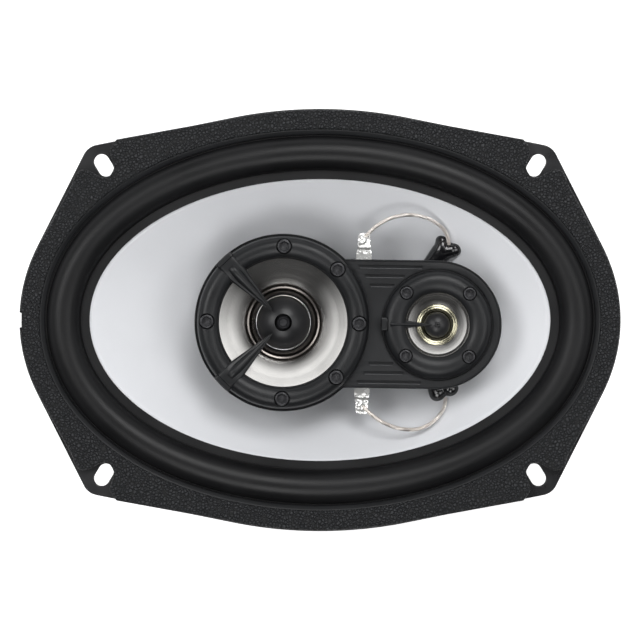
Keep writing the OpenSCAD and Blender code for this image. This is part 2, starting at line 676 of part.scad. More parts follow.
// The metallised cone: a bell with two steps before its neck
MID_CONE = [[24.9, 9.2], [23.5, 7.2], [21.6, 5.2], [19.2, 3.5], [16.8, 2.3], [15.2, 1.6], [14.8, 0.6], [13.1, 0.1],
    [12.7, -0.9], [11.3, -1.5]];
module mid_cone() {
    color("#d8d2cb") at_mid() rotate_extrude() polygon(concat(MID_CONE,
        [for (i = [len(MID_CONE) - 1:-1:0]) MID_CONE[i] - [0, 0.45]]));
}
module mid_surround() {
    roll_mid = 26;
    roll = [for (i = [0:8]) let (q = 180 - 22.5 * i)
        [roll_mid + 0.8 * cos(q), 8.75 - 0.6 * i / 8 + 0.7 * sin(q)]];
    color("#2a2b2d") at_mid() rotate_extrude() polygon(concat(
        [[24.95, 8.7]], roll, [[27.2, 8.2], [27.2, 8.05]],
        [for (i = [8:-1:0]) [roll_mid + (roll[i][0] - roll_mid) * 0.82, roll[i][1] - 0.13]], [[24.95, 8.55]]));
}
module mid_voice_coil() {
    color("#b5652f") at_mid() union() {
        ring(10.95, 11.2, -8, -1.6);
        ring(11.15, 11.75, -7.6, -2.6);
    }
}
module mid_frame() {
    color("#3b3c3e") at_mid() difference() {
        rotate_extrude() polygon([[19, -3.5], [20.2, -3.5], [21, -0.4], [22.4, 2.4], [23.9, 3.9], [27.2, 5.6],
            [27.2, 8], [26.6, 8], [26.3, 6.4], [23.6, 4.9], [21.9, 3.1], [20.2, 0.2], [19, -2.6]]);
        for (q = [22.5:45:360]) rotate([0, 0, q]) translate([21.2, 0, 0.6]) rotate([0, 90, 0])
            cylinder(r = 1.8, h = 6, center = true, $fn = 24);
    }
}
module mid_top_plate() {
    color("#b9bcc0") at_mid() ring(12.3, 20.4, -6.5, -3.5);
}
module mid_magnet() {
    color("#2c2b2c") at_mid() ring(14.2, 21, -12.4, -6.5);
}
module mid_yoke() {
    color("#b9bcc0") at_mid() difference() {
        union() {
            disc(20, -15, -12.4);
            disc(mid_pole_r, -13, -3);
        }
        disc(1.5, -12, -2);
    }
}

// ---- Tweeter ----

// The ring, its one spike and the bullet the spike carries are a single moulding
module tweeter_bezel() {
    seat = face_z - tweeter_seat_depth;
    bullet = [for (i = [0:ARC_STEPS]) let (q = 90 * i / ARC_STEPS) [4.95 * cos(q), 5.9 + 3.4 * sin(q)]];
    color("#17181a") at_tweeter() difference() {
        union() {
            rotate_extrude() polygon(concat([[tweeter_mouth_r + 1.6, seat], [tweeter_bezel_r, seat]],
                crown(tweeter_mouth_r, tweeter_bezel_r, seat, tweeter_bezel_z, 9.9),
                [[tweeter_mouth_r, 9.3], [tweeter_mouth_r + 1.6, 9.3]]));
            rotate([0, 0, 180]) fin(tweeter_bezel_r + 0.2, 5.4, 2.6, 2.6, 13.3, 1.1, 1.6, 8.9);
            rotate_extrude() polygon(concat([[0, 4.9], [4.5, 5.1]], bullet));
            translate([0, 0, 8.8]) cylinder(r1 = 1.3, r2 = 0.8, h = 1);
        }
        disc(0.45, 9, 12);
        around(tweeter_screw_pcd_r, TWEETER_SCREWS) {
            disc(screw_pocket_r - 0.2, 10.1, tweeter_bezel_z + PAST);
            disc(1.2, seat - PAST, tweeter_bezel_z);
        }
    }
}
module tweeter_bezel_screws() {
    color("#141516") at_tweeter() around(tweeter_screw_pcd_r, TWEETER_SCREWS)
        cap_screw(10.1, screw_head_r - 0.2, 2.5, 1.05, 5.4);
}
TWEETER_HORN = [[13.8, 9.2], [12.7, 9.1], [11.6, 8.2], [10.6, 6.8], [9.4, 5.6], [8.2, 5]];
module tweeter_horn() {
    color("#cfcbc0") at_tweeter() rotate_extrude() polygon(concat(TWEETER_HORN,
        [[8.2, 4], [9.8, 4.3], [11.2, 5.5], [12.3, 7.3], [13.8, 8.2]]));
}
TWEETER_FILM = [[0, 4], [2, 3.9], [4, 3.5], [5.5, 2.7], [5.9, 2.4], [6.3, 2.9], [6.9, 3.3], [7.5, 2.9], [8, 2.5]];
module tweeter_diaphragm() {
    color("#c9b98a") at_tweeter() rotate_extrude() polygon(concat(TWEETER_FILM,
        [for (i = [len(TWEETER_FILM) - 1:-1:0]) TWEETER_FILM[i] - [0, 0.2]]));
}
module tweeter_voice_coil() {
    color("#b5652f") at_tweeter() ring(5.85, 6.25, -0.8, 2.2);
}
module tweeter_pole_cap() {
    color("#b9bcc0") at_tweeter() disc(5.6, 0.2, 1.6);
}
module tweeter_magnet() {
    color("#9fa2a6") at_tweeter() disc(5.4, -2.8, 0.2);
}
module tweeter_yoke() {
    color("#b9bcc0") at_tweeter() difference() {
        disc(9, -4, 1.6);
        disc(6.7, -2.8, 3);
    }
}

basket();
gasket();
surround();
cone();
spider();
voice_coil_former();
voice_coil_winding();
lead_dab_upper();
lead_dab_lower();
tinsel_lead_upper();
tinsel_lead_lower();
top_plate();
ferrite_magnet();
pole_yoke();
plate_rivets();
post_tube();
spacer_sleeve();
post_washer();
post_nut();
terminal_board();
terminal_positive();
terminal_negative();
terminal_rivets();
lead_wire_positive();
lead_wire_negative();
pod_base();
pod_housing();
pod_screws();
solder_lug_upper();
solder_lug_lower();
mid_capacitor();
tweeter_capacitor();
mid_bezel();
mid_bezel_screws();
mid_phase_plug();
mid_plug_screw();
mid_cone();
mid_surround();
mid_voice_coil();
mid_frame();
mid_top_plate();
mid_magnet();
mid_yoke();
tweeter_bezel();
tweeter_bezel_screws();
tweeter_horn();
tweeter_diaphragm();
tweeter_voice_coil();
tweeter_pole_cap();
tweeter_magnet();
tweeter_yoke();
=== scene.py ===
"""Finished pieces of an oval coaxial car speaker, built around its frame model."""

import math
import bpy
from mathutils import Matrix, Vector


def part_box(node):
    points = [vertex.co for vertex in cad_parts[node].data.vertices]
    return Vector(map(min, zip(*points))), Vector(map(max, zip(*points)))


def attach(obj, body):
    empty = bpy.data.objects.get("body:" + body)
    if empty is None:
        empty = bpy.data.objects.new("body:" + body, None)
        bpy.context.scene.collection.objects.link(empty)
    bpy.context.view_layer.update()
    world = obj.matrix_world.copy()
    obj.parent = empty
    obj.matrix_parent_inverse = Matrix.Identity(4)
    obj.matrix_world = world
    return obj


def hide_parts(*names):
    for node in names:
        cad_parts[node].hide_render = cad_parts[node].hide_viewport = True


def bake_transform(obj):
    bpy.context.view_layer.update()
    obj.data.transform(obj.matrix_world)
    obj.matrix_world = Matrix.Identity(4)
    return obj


bl_info = {
    "name": "Oval Coaxial Speaker",
    "version": (1, 0, 0),
    "blender": (4, 5, 0),
    "location": "View3D > Sidebar > Speaker",
    "description": "Builds the finished pieces of an oval three-way car speaker around its frame model",
    "category": "Add Mesh",
}

import bmesh
import bpy
import numpy as np
from mathutils import Vector
from mathutils.geometry import tessellate_polygon

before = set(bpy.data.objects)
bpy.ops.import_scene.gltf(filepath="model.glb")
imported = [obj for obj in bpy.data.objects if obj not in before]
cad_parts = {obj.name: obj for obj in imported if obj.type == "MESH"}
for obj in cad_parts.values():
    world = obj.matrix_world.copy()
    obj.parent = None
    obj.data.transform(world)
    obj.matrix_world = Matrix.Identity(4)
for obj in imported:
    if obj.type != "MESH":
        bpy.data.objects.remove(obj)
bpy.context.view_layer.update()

MM = 0.001
TAU = 2 * math.pi

# ---------------------------------------------------------------------------
# Sizes in millimetres, shared by several pieces
# ---------------------------------------------------------------------------

CONE_MARGIN = 3.6
CONE_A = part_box("cone")[1][0] / MM - CONE_MARGIN
CONE_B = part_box("cone")[1][1] / MM - CONE_MARGIN
FLANGE_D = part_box("basket")[1][0] / MM - CONE_A
SHEET = 1.2
EAR_X, EAR_Y, EAR_R = 86.1, 61.6, 7.0
EARS = ((1, 1), (-1, 1), (-1, -1), (1, -1))
SLOT_X, SLOT_Y, SLOT_R, SLOT_HALF = 84.5, 60.5, 3.0, 1.6
SLOT_TILT = math.radians(58.6)
NOTCH_HALF, NOTCH_X = 2.85, -116.4
GASKET_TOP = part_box("gasket")[1][2] / MM
GASKET_IN_D = 17.4
GASKET_BAND = 1.9
CONE_EDGE_Z = 0.4
NECK_R, NECK_Z = 15.6, -34.0
ROLL_IN_D, ROLL_OUT_D = 3.9, 16.5
FUNNEL_R, FUNNEL_TOP, FUNNEL_DEPTH = 45.4, -10.6, 27.0
SPIDER_Z, SPIDER_IN, SPIDER_OUT = -36.75, 15.65, 44.0
MOTOR_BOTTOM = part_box("pole_yoke")[0][2] / MM
POD_TURN = math.radians(-0.85)
POD_SHIFT = (0.6, -1.2)
MID_X, TWEETER_X = -14.9, 45.0
POD_MID_R, POD_TWEETER_R = 34.5, 25.0
FACE_Z = 8.0
MID_SCREWS = (0, 45, 90, 180, 270, 315)
TWEETER_SCREWS = (45, 135, 225, 315)
FRAME_BODY, WOOFER_BODY = "frame_assembly", "woofer_moving"
MID_BODY, TWEETER_BODY = "mid_moving", "tweeter_moving"

# Routes of the braided leads, from the lug to the adhesive on the cone
LEAD_UPPER = [
    (17.2, 31.2, 1.1), (18.4, 33.2, 1.5), (21.0, 35.9, 2.0), (24.0, 38.0, 2.5), (27.4, 39.7, 2.8),
    (31.3, 40.8, 2.8), (35.4, 41.1, 2.4), (39.4, 40.6, 1.5), (43.0, 39.4, 0.2), (46.2, 37.5, -1.5),
    (48.7, 35.3, -3.4), (50.1, 32.7, -5.1), (50.8, 29.8, -6.9),
]
LEAD_LOWER = [
    (16.0, -32.2, 1.1), (17.6, -34.6, 1.5), (20.2, -37.0, 1.9), (23.4, -39.3, 2.2), (27.0, -41.1, 2.3),
    (30.8, -42.3, 2.1), (34.7, -42.8, 1.5), (38.6, -42.5, 0.5), (42.2, -41.2, -0.8), (45.4, -39.0, -2.3),
    (47.8, -36.2, -4.0), (49.1, -33.4, -5.6), (49.5, -30.7, -7.1),
]
LEAD_D, LEAD_PITCH = 1.3, 5.5


# ---------------------------------------------------------------------------
# Settings that a user would change
# ---------------------------------------------------------------------------


def colour_property(name, description, default):
    return bpy.props.FloatVectorProperty(
        name=name, description=description, default=default, size=3, min=0, max=1, subtype="COLOR"
    )


class SpeakerShape(bpy.types.PropertyGroup):
    roll_height: bpy.props.FloatProperty(
        name="Roll Height", description="Height of the surround's half roll", default=5.9 * MM,
        min=3 * MM, max=7 * MM, unit="LENGTH",
    )
    rubber_thickness: bpy.props.FloatProperty(
        name="Rubber Thickness", description="Thickness of the surround", default=0.8 * MM,
        min=0.4 * MM, max=1.2 * MM, unit="LENGTH",
    )
    cone_bow: bpy.props.FloatProperty(
        name="Cone Bow", description="How far the cone bows above a straight line", default=1.0 * MM,
        min=0, max=2 * MM, unit="LENGTH",
    )
    rib_height: bpy.props.FloatProperty(
        name="Rib Height", description="Height of the rib pressed into each leg of the basket",
        default=0.9 * MM, min=0, max=1.5 * MM, unit="LENGTH",
    )
    braid_strands: bpy.props.IntProperty(
        name="Braid Strands", description="Strands of a braided lead that turn each way", default=5,
        min=3, max=10,
    )


class SpeakerFinish(bpy.types.PropertyGroup):
    cone: colour_property("Cone", "Pearl silver of the woofer's cone", (0.70, 0.71, 0.735))
    gasket: colour_property("Gasket", "Charcoal of the leather-grained gasket", (0.008, 0.0085, 0.0095))
    rubber: colour_property("Rubber", "Black of the surround", (0.006, 0.006, 0.0065))
    paint: colour_property("Paint", "Black of the basket's paint", (0.008, 0.008, 0.009))
    plastic: colour_property("Plastic", "Black of the pod and the bezels", (0.009, 0.0095, 0.0105))
    horn: colour_property("Horn", "Silver of the metallised horns", (0.86, 0.84, 0.81))


# ---------------------------------------------------------------------------
# Shapes, worked out as whole arrays in millimetres
# ---------------------------------------------------------------------------


def smoothstep(t):
    """Cubic ease from 0 to 1: 3 t squared minus 2 t cubed, held at 0 and 1 outside."""
    t = np.clip(t, 0, 1)
    return t * t * (3 - 2 * t)


def oval_angles(count):
    """Directions of the ellipse's normals: at parameter t the normal is (b cos t, a sin t)."""
    t = np.arange(count) * TAU / count
    return np.arctan2(CONE_A * np.sin(t), CONE_B * np.cos(t))


def oval_points(phi, d):
    """The ellipse's point whose outward normal has direction phi, moved out along that normal by d."""
    phi, d = np.broadcast_arrays(np.asarray(phi, float), np.asarray(d, float))
    w = np.hypot(CONE_A * np.cos(phi), CONE_B * np.sin(phi))
    return np.stack([(CONE_A**2 / w + d) * np.cos(phi), (CONE_B**2 / w + d) * np.sin(phi)], -1)


def outline_points(count, shrink=0.0):
    """The flange's edge: along each normal, the oval or an ear's corner, whichever reaches further."""
    phi = (np.arange(count) + 0.5) * TAU / count
    n = np.stack([np.cos(phi), np.sin(phi)], -1)
    oval = oval_points(phi, FLANGE_D - shrink)
    ear = np.sign(n) * [EAR_X, EAR_Y] + (EAR_R - shrink) * n
    oval_reaches = (oval * n).sum(1) >= (ear * n).sum(1)
    return np.where(oval_reaches[:, None], oval, ear)


def turned_ccw(loop):
    """The loop itself when it runs counterclockwise, by the shoelace sum, or else its reverse."""
    x, y = loop[:, 0], loop[:, 1]
    return loop if np.sum(x * np.roll(y, -1) - np.roll(x, -1) * y) > 0 else loop[::-1]


def arc(cx, cy, r, start, end, count):
    """Points on a circle from angle start to end, in degrees."""
    q = np.radians(np.linspace(start, end, count))
    return np.stack([cx + r * np.cos(q), cy + r * np.sin(q)], -1)


def circle(cx, cy, r, count=96):
    """A whole circle, without its first point again."""
    return arc(cx, cy, r, 0, 360 * (1 - 1 / count), count)


def soften(points, radius, steps=4, closed=True):
    """Rounds each corner with a quadratic curve that starts and ends radius away, less on a short side."""
    p = np.asarray(points, float)
    before, after = np.roll(p, 1, 0), np.roll(p, -1, 0)
    r = np.broadcast_to(np.asarray(radius, float), (len(p),)).copy()
    if not closed:
        r[[0, -1]] = 0
    to_before, to_after = before - p, after - p
    len_before, len_after = (np.linalg.norm(side, axis=1) for side in (to_before, to_after))
    cut = np.minimum(r, 0.45 * np.minimum(len_before, len_after))
    a = p + to_before * (cut / np.maximum(len_before, 1e-9))[:, None]
    b = p + to_after * (cut / np.maximum(len_after, 1e-9))[:, None]
    t = np.linspace(0, 1, steps + 1)[None, :, None]
    curve = (1 - t) ** 2 * a[:, None] + 2 * t * (1 - t) * p[:, None] + t**2 * b[:, None]
    keep = [curve[i] if cut[i] > 1e-6 else p[i : i + 1] for i in range(len(p))]
    return np.concatenate(keep)


def through(points, steps):
    """Catmull-Rom curve through the points, with steps pieces in each span: half of the cubic below."""
    p = np.asarray(points, float)
    q = np.concatenate([p[:1], p, p[-1:]])
    t = np.linspace(0, 1, steps, endpoint=False)[None, :, None]
    a, b, c, d = (q[i : i + len(p) - 1, None] for i in range(4))
    square, cube = 2 * a - 5 * b + 4 * c - d, 3 * b - a - 3 * c + d
    curve = 0.5 * (2 * b + (c - a) * t + square * t**2 + cube * t**3)
    return np.concatenate([curve.reshape(-1, p.shape[1]), p[-1:]])


def wall(line, thickness):
    """A closed profile round an open line: the line moved half a thickness to each side along its normals."""
    p = np.asarray(line, float)
    along = np.gradient(p, axis=0)
    along /= np.linalg.norm(along, axis=1)[:, None]
    side = np.stack([-along[:, 1], along[:, 0]], -1) * thickness / 2
    return np.concatenate([p + side, (p - side)[::-1]])


def swap_yz(points):
    """Stands a slab up: its thickness, made along Z, comes to run along Y."""
    return points[:, [0, 2, 1]]


def grid_faces(rows, cols, wrap_rows=False, wrap_cols=True):
    """Quads between neighbouring rows and columns of a grid whose points are numbered row by row."""
    i = np.arange(rows if wrap_rows else rows - 1)[:, None]
    j = np.arange(cols if wrap_cols else cols - 1)[None, :]
    i2, j2 = (i + 1) % rows, (j + 1) % cols
    quads = np.stack([i * cols + j, i * cols + j2, i2 * cols + j2, i2 * cols + j], -1)
    return quads.reshape(-1, 4)


class Shape:
    """Points in millimetres and faces, gathered from several surfaces before they become one mesh."""

    def __init__(self):
        self.points, self.faces, self.flat, self.count = [], [], [], 0

    def grid(self, points, wrap_rows=False, wrap_cols=True):
        """A surface on a grid of points, rows by columns."""
        rows, cols = points.shape[:2]
        faces = grid_faces(rows, cols, wrap_rows, wrap_cols) + self.count
        self.points.append(np.asarray(points, float).reshape(-1, 3))
        self.faces += [tuple(face) for face in faces.tolist()]
        self.flat += [False] * len(faces)
        self.count += rows * cols
        return self

    def capped(self, points):
        """A tube of closed rings, its first and last rings closed by flat faces."""
        rows, cols = points.shape[:2]
        start = self.count
        self.grid(points)
        ends = [range(cols - 1, -1, -1), range((rows - 1) * cols, rows * cols)]
        for ring in ends:
            self.faces.append(tuple(start + k for k in ring))
            self.flat.append(True)
        return self

    def lathe(self, profile, segments=128, at=(0, 0), closed=True):
        """The profile of (radius, height) turned about the vertical line through at."""
        p = np.asarray(profile, float)
        q = np.arange(segments) * TAU / segments
        x = at[0] + p[:, :1] * np.cos(q)
        y = at[1] + p[:, :1] * np.sin(q)
        return self.grid(np.stack([x, y, np.broadcast_to(p[:, 1:], x.shape)], -1), wrap_rows=closed)

    def oval(self, profile, segments=360, closed=True):
        """The profile of (offset from the cone's edge, height) carried round the oval."""
        p = np.asarray(profile, float)
        phi = oval_angles(segments)
        xy = oval_points(phi[None, :], p[:, :1])
        z = np.broadcast_to(p[:, 1:, None], xy.shape[:2] + (1,))
        return self.grid(np.concatenate([xy, z], -1), wrap_rows=closed)

    def tube(self, path, radius, sides=16):
        """A round tube along a path: centre plus radius times (cos q side + sin q up), without twist."""
        p = np.asarray(path, float)
        along = np.gradient(p, axis=0)
        along /= np.linalg.norm(along, axis=1)[:, None]
        side = carried_sides(along)
        up = np.cross(along, side)
        q = np.arange(sides) * TAU / sides
        r = np.broadcast_to(np.asarray(radius, float), (len(p),))[:, None, None]
        c, s = np.cos(q)[:, None], np.sin(q)[:, None]
        return self.capped(p[:, None] + r * (c * side[:, None] + s * up[:, None]))

    def slab(self, loops, z0, z1, edge=0.2, steps=3):
        """A plate between z0 and z1 with rounded edges: the first loop is its outline, the rest holes."""
        rings, spans = [], []
        for k, loop in enumerate(loops):
            p = turned_ccw(np.asarray(loop, float))
            p = p if k == 0 else p[::-1]
            along = np.roll(p, -1, 0) - np.roll(p, 1, 0)
            along /= np.maximum(np.linalg.norm(along, axis=1), 1e-9)[:, None]
            inward = np.stack([-along[:, 1], along[:, 0]], -1)
            q = np.linspace(0, math.pi / 2, steps + 1)
            lower = [(edge * (1 - math.sin(a)), z0 + edge * (1 - math.cos(a))) for a in q]
            rows = lower + [(inset, z1 - (z - z0)) for inset, z in reversed(lower)]
            ring = np.stack([
                np.column_stack([p + inset * inward, np.full(len(p), z)]) for inset, z in rows
            ])
            spans.append((self.count, len(rows), len(p)))
            self.grid(ring)
            rings.append(ring)
        for row, turn in ((0, -1), (-1, 1)):
            outlines = [[Vector((x, y, 0)) for x, y, _ in ring[row]] for ring in rings]
            index = np.concatenate([
                start + (row % rows) * cols + np.arange(cols) for start, rows, cols in spans
            ])
            flat_points = np.concatenate([ring[row][:, :2] for ring in rings])
            for tri in tessellate_polygon(outlines):
                a, b, c = (flat_points[k] for k in tri)
                area = (b[0] - a[0]) * (c[1] - a[1]) - (c[0] - a[0]) * (b[1] - a[1])
                if abs(area) < 1e-9:
                    continue
                order = tri if area * turn > 0 else tri[::-1]
                self.faces.append(tuple(int(index[k]) for k in order))
                self.flat.append(True)
        return self

    def on_pod(self):
        """Turns everything so far with the pod about the vertical axis, then moves it to the pod's place."""
        c, s = math.cos(POD_TURN), math.sin(POD_TURN)
        turn = np.array([[c, s, 0], [-s, c, 0], [0, 0, 1]])
        self.points = [p @ turn + [*POD_SHIFT, 0] for p in self.points]
        return self

    def moved(self, change):
        """Replaces everything so far by change(points)."""
        self.points = [change(p) for p in self.points]
        return self


def carried_sides(along):
    """Side vectors square to a path, each the last one with its part along the path taken away."""
    side = np.empty_like(along)
    start = np.array([1.0, 0, 0]) if abs(along[0][2]) > 0.9 else np.array([0, 0, 1.0])
    for k, t in enumerate(along):
        start = start - t * (start @ t)
        start = start / np.linalg.norm(start)
        side[k] = start
    return side


def superellipse(half_w, half_h, power, count):
    """Ring of a superellipse: cos and sin, each raised to 2 over power with its sign kept."""
    q = (np.arange(count) + 0.5) * TAU / count
    across, up = (np.sign(side) * np.abs(side) ** (2 / power) for side in (np.cos(q), np.sin(q)))
    return half_w * across, half_h * up


def hexagon_radius(angles, corner_r):
    """Distance from a hexagon's centre to its edge: the flat's distance over the cosine from its middle."""
    sixth = math.pi / 6
    return corner_r * math.cos(sixth) / np.cos((angles + sixth) % (2 * sixth) - sixth)


def mesh_from(shape, name):
    """A mesh in metres from a Shape."""
    mesh = bpy.data.meshes.new(name)
    mesh.from_pydata((np.concatenate(shape.points) * MM).tolist(), [], shape.faces)
    return mesh


def weld_mesh(mesh, distance):
    """Joins points closer than distance, drops faces without area and turns all faces outward."""
    bm = bmesh.new()
    bm.from_mesh(mesh)
    bmesh.ops.remove_doubles(bm, verts=bm.verts, dist=distance)
    bmesh.ops.dissolve_degenerate(bm, edges=bm.edges, dist=1e-7)
    bmesh.ops.recalc_face_normals(bm, faces=bm.faces)
    bm.to_mesh(mesh)
    bm.free()


def add_object(name, data):
    """A new object in the scene, at the origin."""
    made = bpy.data.objects.new(name, data)
    bpy.context.scene.collection.objects.link(made)
    return made


def baked(piece):
    """The mesh that a piece's modifiers make, put in the place of its own mesh."""
    bpy.context.view_layer.update()
    graph = bpy.context.evaluated_depsgraph_get()
    mesh = bpy.data.meshes.new_from_object(piece.evaluated_get(graph))
    piece.modifiers.clear()
    piece.data = mesh
    mesh.polygons.foreach_set("use_smooth", [True] * len(mesh.polygons))
    return mesh


def make_piece(shape, name, material, body, stands_for=(), sharp=40.0, weld=True):
    """Turns a Shape into an object that rides on a body and stands for CAD nodes."""
    mesh = mesh_from(shape, name)
    mesh.polygons.foreach_set("use_smooth", [not flat for flat in shape.flat])
    if weld:
        weld_mesh(mesh, 2e-6)
    flat = np.zeros(len(mesh.polygons), bool)
    mesh.polygons.foreach_get("use_smooth", flat)
    mesh.set_sharp_from_angle(angle=math.radians(sharp))
    mesh.polygons.foreach_set("use_smooth", flat)
    mesh.update()
    piece = add_object(name, mesh)
    mesh.materials.append(material)
    if body:
        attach(piece, body)
    if stands_for:
        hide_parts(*stands_for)
    return piece


def blend_by(piece, body, start, end, share):
    """Bakes a piece's place into its mesh and works out share(points) for its points; the shares, the body
    and the two ends are not used.
    """
    bpy.context.view_layer.update()
    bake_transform(piece)
    points = np.empty(len(piece.data.vertices) * 3, np.float32)
    piece.data.vertices.foreach_get("co", points)
    weights = share(points.reshape(-1, 3) / MM).astype(np.float32)


def carve(piece, cutters):
    """Cuts the cutters out of a piece and keeps the result as its mesh."""
    for cutter in cutters:
        cut = piece.modifiers.new("Cut", "BOOLEAN")
        cut.operation, cut.solver, cut.object = "DIFFERENCE", "EXACT", cutter
    baked(piece).set_sharp_from_angle(angle=math.radians(35))
    for cutter in cutters:
        bpy.data.objects.remove(cutter)


def cutter_from(shape):
    """A plain object for carve to cut with."""
    mesh = mesh_from(shape, "cutter")
    weld_mesh(mesh, 1e-7)
    return add_object("cutter", mesh)


# ---------------------------------------------------------------------------
# Effects shared by the materials, as node groups
# ---------------------------------------------------------------------------


def new_group(name, inputs, outputs):
    """An empty node group with float inputs {name: default} and outputs {name: socket type}."""
    group = bpy.data.node_groups.new(name, "ShaderNodeTree")
    for key, default in inputs.items():
        kind = "NodeSocketColor" if isinstance(default, tuple) else "NodeSocketFloat"
        socket = group.interface.new_socket(key, in_out="INPUT", socket_type=kind)
        socket.default_value = default
    for key, kind in outputs.items():
        group.interface.new_socket(key, in_out="OUTPUT", socket_type=kind)
    enter, leave = group.nodes.new("NodeGroupInput"), group.nodes.new("NodeGroupOutput")
    return group, enter, leave


BLACK = (0, 0, 0, 1)
TWO_COLOURS = {"Colour A": BLACK, "Colour B": BLACK}
SURFACE_OUT = {"Colour": "NodeSocketColor", "Roughness": "NodeSocketFloat", "Height": "NodeSocketFloat"}


class Wires:
    """Small helper that adds nodes to a tree and joins them."""

    def __init__(self, tree):
        self.tree = tree

    def node(self, kind, **values):
        """A new node with its settings."""
        made = self.tree.nodes.new(kind)
        for key, value in values.items():
            setattr(made, key, value)
        return made

    def mix_two(self, share, enter, leave):
        """The group's own two colours mixed into its colour."""
        colour = self.mix(share, enter.outputs["Colour A"], enter.outputs["Colour B"])
        self.join(colour, leave.inputs["Colour"])

    def rough_two(self, share, low, high, enter, leave):
        """The group's own two roughnesses, from share at low to share at high."""
        rough = self.span(share, low, high, enter.outputs["Rough A"], enter.outputs["Rough B"])
        self.join(rough, leave.inputs["Roughness"])

    def join(self, source, target):
        """A link from one socket to another."""
        self.tree.links.new(source, target)

    def feed(self, target, value):
        """Gives a socket a number, or the link from another socket."""
        if isinstance(value, (int, float)):
            target.default_value = value
        else:
            self.join(value, target)

    def math(self, operation, a, b=None, clamp=False):
        """One sum of one or two values."""
        made = self.node("ShaderNodeMath", operation=operation, use_clamp=clamp)
        self.feed(made.inputs[0], a)
        if b is not None:
            self.feed(made.inputs[1], b)
        return made.outputs[0]

    def span(self, value, low, high, to_low=0.0, to_high=1.0):
        """The value's place between low and high, carried over to between to_low and to_high."""
        made = self.node("ShaderNodeMapRange")
        keys = ("Value", "From Min", "From Max", "To Min", "To Max")
        for key, number in zip(keys, (value, low, high, to_low, to_high)):
            self.feed(made.inputs[key], number)
        return made.outputs["Result"]

    def mix(self, share, a, b):
        """Two colours, mixed by a share."""
        made = self.node("ShaderNodeMix", data_type="RGBA")
        for k, source in ((0, share), (6, a), (7, b)):
            self.join(source, made.inputs[k])
        return made.outputs[2]

    def noise(self, place, scale, detail=2.0, roughness=0.5):
        """Noise between 0 and 1."""
        made = self.node("ShaderNodeTexNoise")
        keys = ("Vector", "Scale", "Detail", "Roughness")
        for key, value in zip(keys, (place, scale, detail, roughness)):
            self.feed(made.inputs[key], value)
        return made.outputs["Fac"]

    def voronoi(self, place, scale, feature):
        """Distance to a cell's middle or edge."""
        made = self.node("ShaderNodeTexVoronoi", feature=feature)
        self.feed(made.inputs["Vector"], place)
        self.feed(made.inputs["Scale"], scale)
        return made.outputs["Distance"]

    def place(self):
        """The object's own coordinates, in metres."""
        return self.node("ShaderNodeTexCoord").outputs["Object"]


def tone_group():
    """Two colours and two roughnesses mixed by cloudy noise, with a finer noise for height."""
    group, enter, leave = new_group(
        "Moulded Tone",
        {**TWO_COLOURS, "Rough A": 0.4, "Rough B": 0.5, "Cloud Scale": 40.0, "Grain Scale": 2500.0},
        SURFACE_OUT,
    )
    w = Wires(group)
    place = w.place()
    cloud = w.span(w.noise(place, enter.outputs["Cloud Scale"], 4.0), 0.35, 0.65)
    grain = w.noise(place, enter.outputs["Grain Scale"], 2.0, 0.6)
    speck = w.math("MULTIPLY", w.span(grain, 0.5, 0.75), 0.35)
    mixed = w.math("ADD", cloud, speck, clamp=True)
    w.mix_two(mixed, enter, leave)
    w.rough_two(mixed, 0.0, 1.0, enter, leave)
    w.join(grain, leave.inputs["Height"])
    return group


def leather_grain_and_shade_group():
    """Pebbled leather: rounded cells with creases between them, broken by finer noise. Its colour follows the
    height: darker in the creases as painted shade, lighter on the tops as a painted highlight.
    """
    group, enter, leave = new_group(
        "Leather Grain",
        {"Scale": 700.0, **TWO_COLOURS},
        SURFACE_OUT,
    )
    w = Wires(group)
    place = w.place()
    bend = w.node("ShaderNodeTexNoise")
    w.feed(bend.inputs["Vector"], place)
    w.feed(bend.inputs["Scale"], 420.0)
    shift = w.node("ShaderNodeVectorMath", operation="MULTIPLY_ADD")
    w.join(bend.outputs["Color"], shift.inputs[0])
    shift.inputs[1].default_value = (0.0011,) * 3
    w.join(place, shift.inputs[2])
    bent, scale = shift.outputs[0], enter.outputs["Scale"]
    creases = w.span(w.voronoi(bent, scale, "DISTANCE_TO_EDGE"), 0.0, 0.24)
    domes = w.span(w.voronoi(bent, scale, "F1"), 0.75, 0.1)
    fine = w.noise(place, 3600.0, 2.0)
    height = w.math("ADD", w.math("MULTIPLY", creases, 0.65), w.math("MULTIPLY", domes, 0.35))
    height = w.math("ADD", height, w.math("MULTIPLY", fine, 0.18))
    # Colour by height: dark creases are painted shade, light grain tops a painted highlight
    w.mix_two(w.span(height, 0.1, 1.0), enter, leave)
    w.join(w.span(height, 0.1, 1.0, 0.62, 0.42), leave.inputs["Roughness"])
    w.join(height, leave.inputs["Height"])
    return group


def metal_group():
    """Brushed or turned metal: noise stretched along one axis, with blotches in colour and roughness."""
    group, enter, leave = new_group(
        "Worn Metal",
        {**TWO_COLOURS, "Rough A": 0.2, "Rough B": 0.4, "Scratch Scale": 300.0},
        SURFACE_OUT,
    )
    w = Wires(group)
    place = w.place()
    stretch = w.node("ShaderNodeMapping")
    w.join(place, stretch.inputs["Vector"])
    stretch.inputs["Scale"].default_value = (1.0, 1.0, 9.0)
    scratch = w.noise(stretch.outputs[0], enter.outputs["Scratch Scale"], 4.0, 0.7)
    blotch = w.span(w.noise(place, 60.0, 5.0), 0.35, 0.7)
    w.mix_two(blotch, enter, leave)
    both = w.math("ADD", w.math("MULTIPLY", scratch, 0.6), w.math("MULTIPLY", blotch, 0.4))
    w.rough_two(both, 0.2, 0.8, enter, leave)
    w.join(scratch, leave.inputs["Height"])
    return group


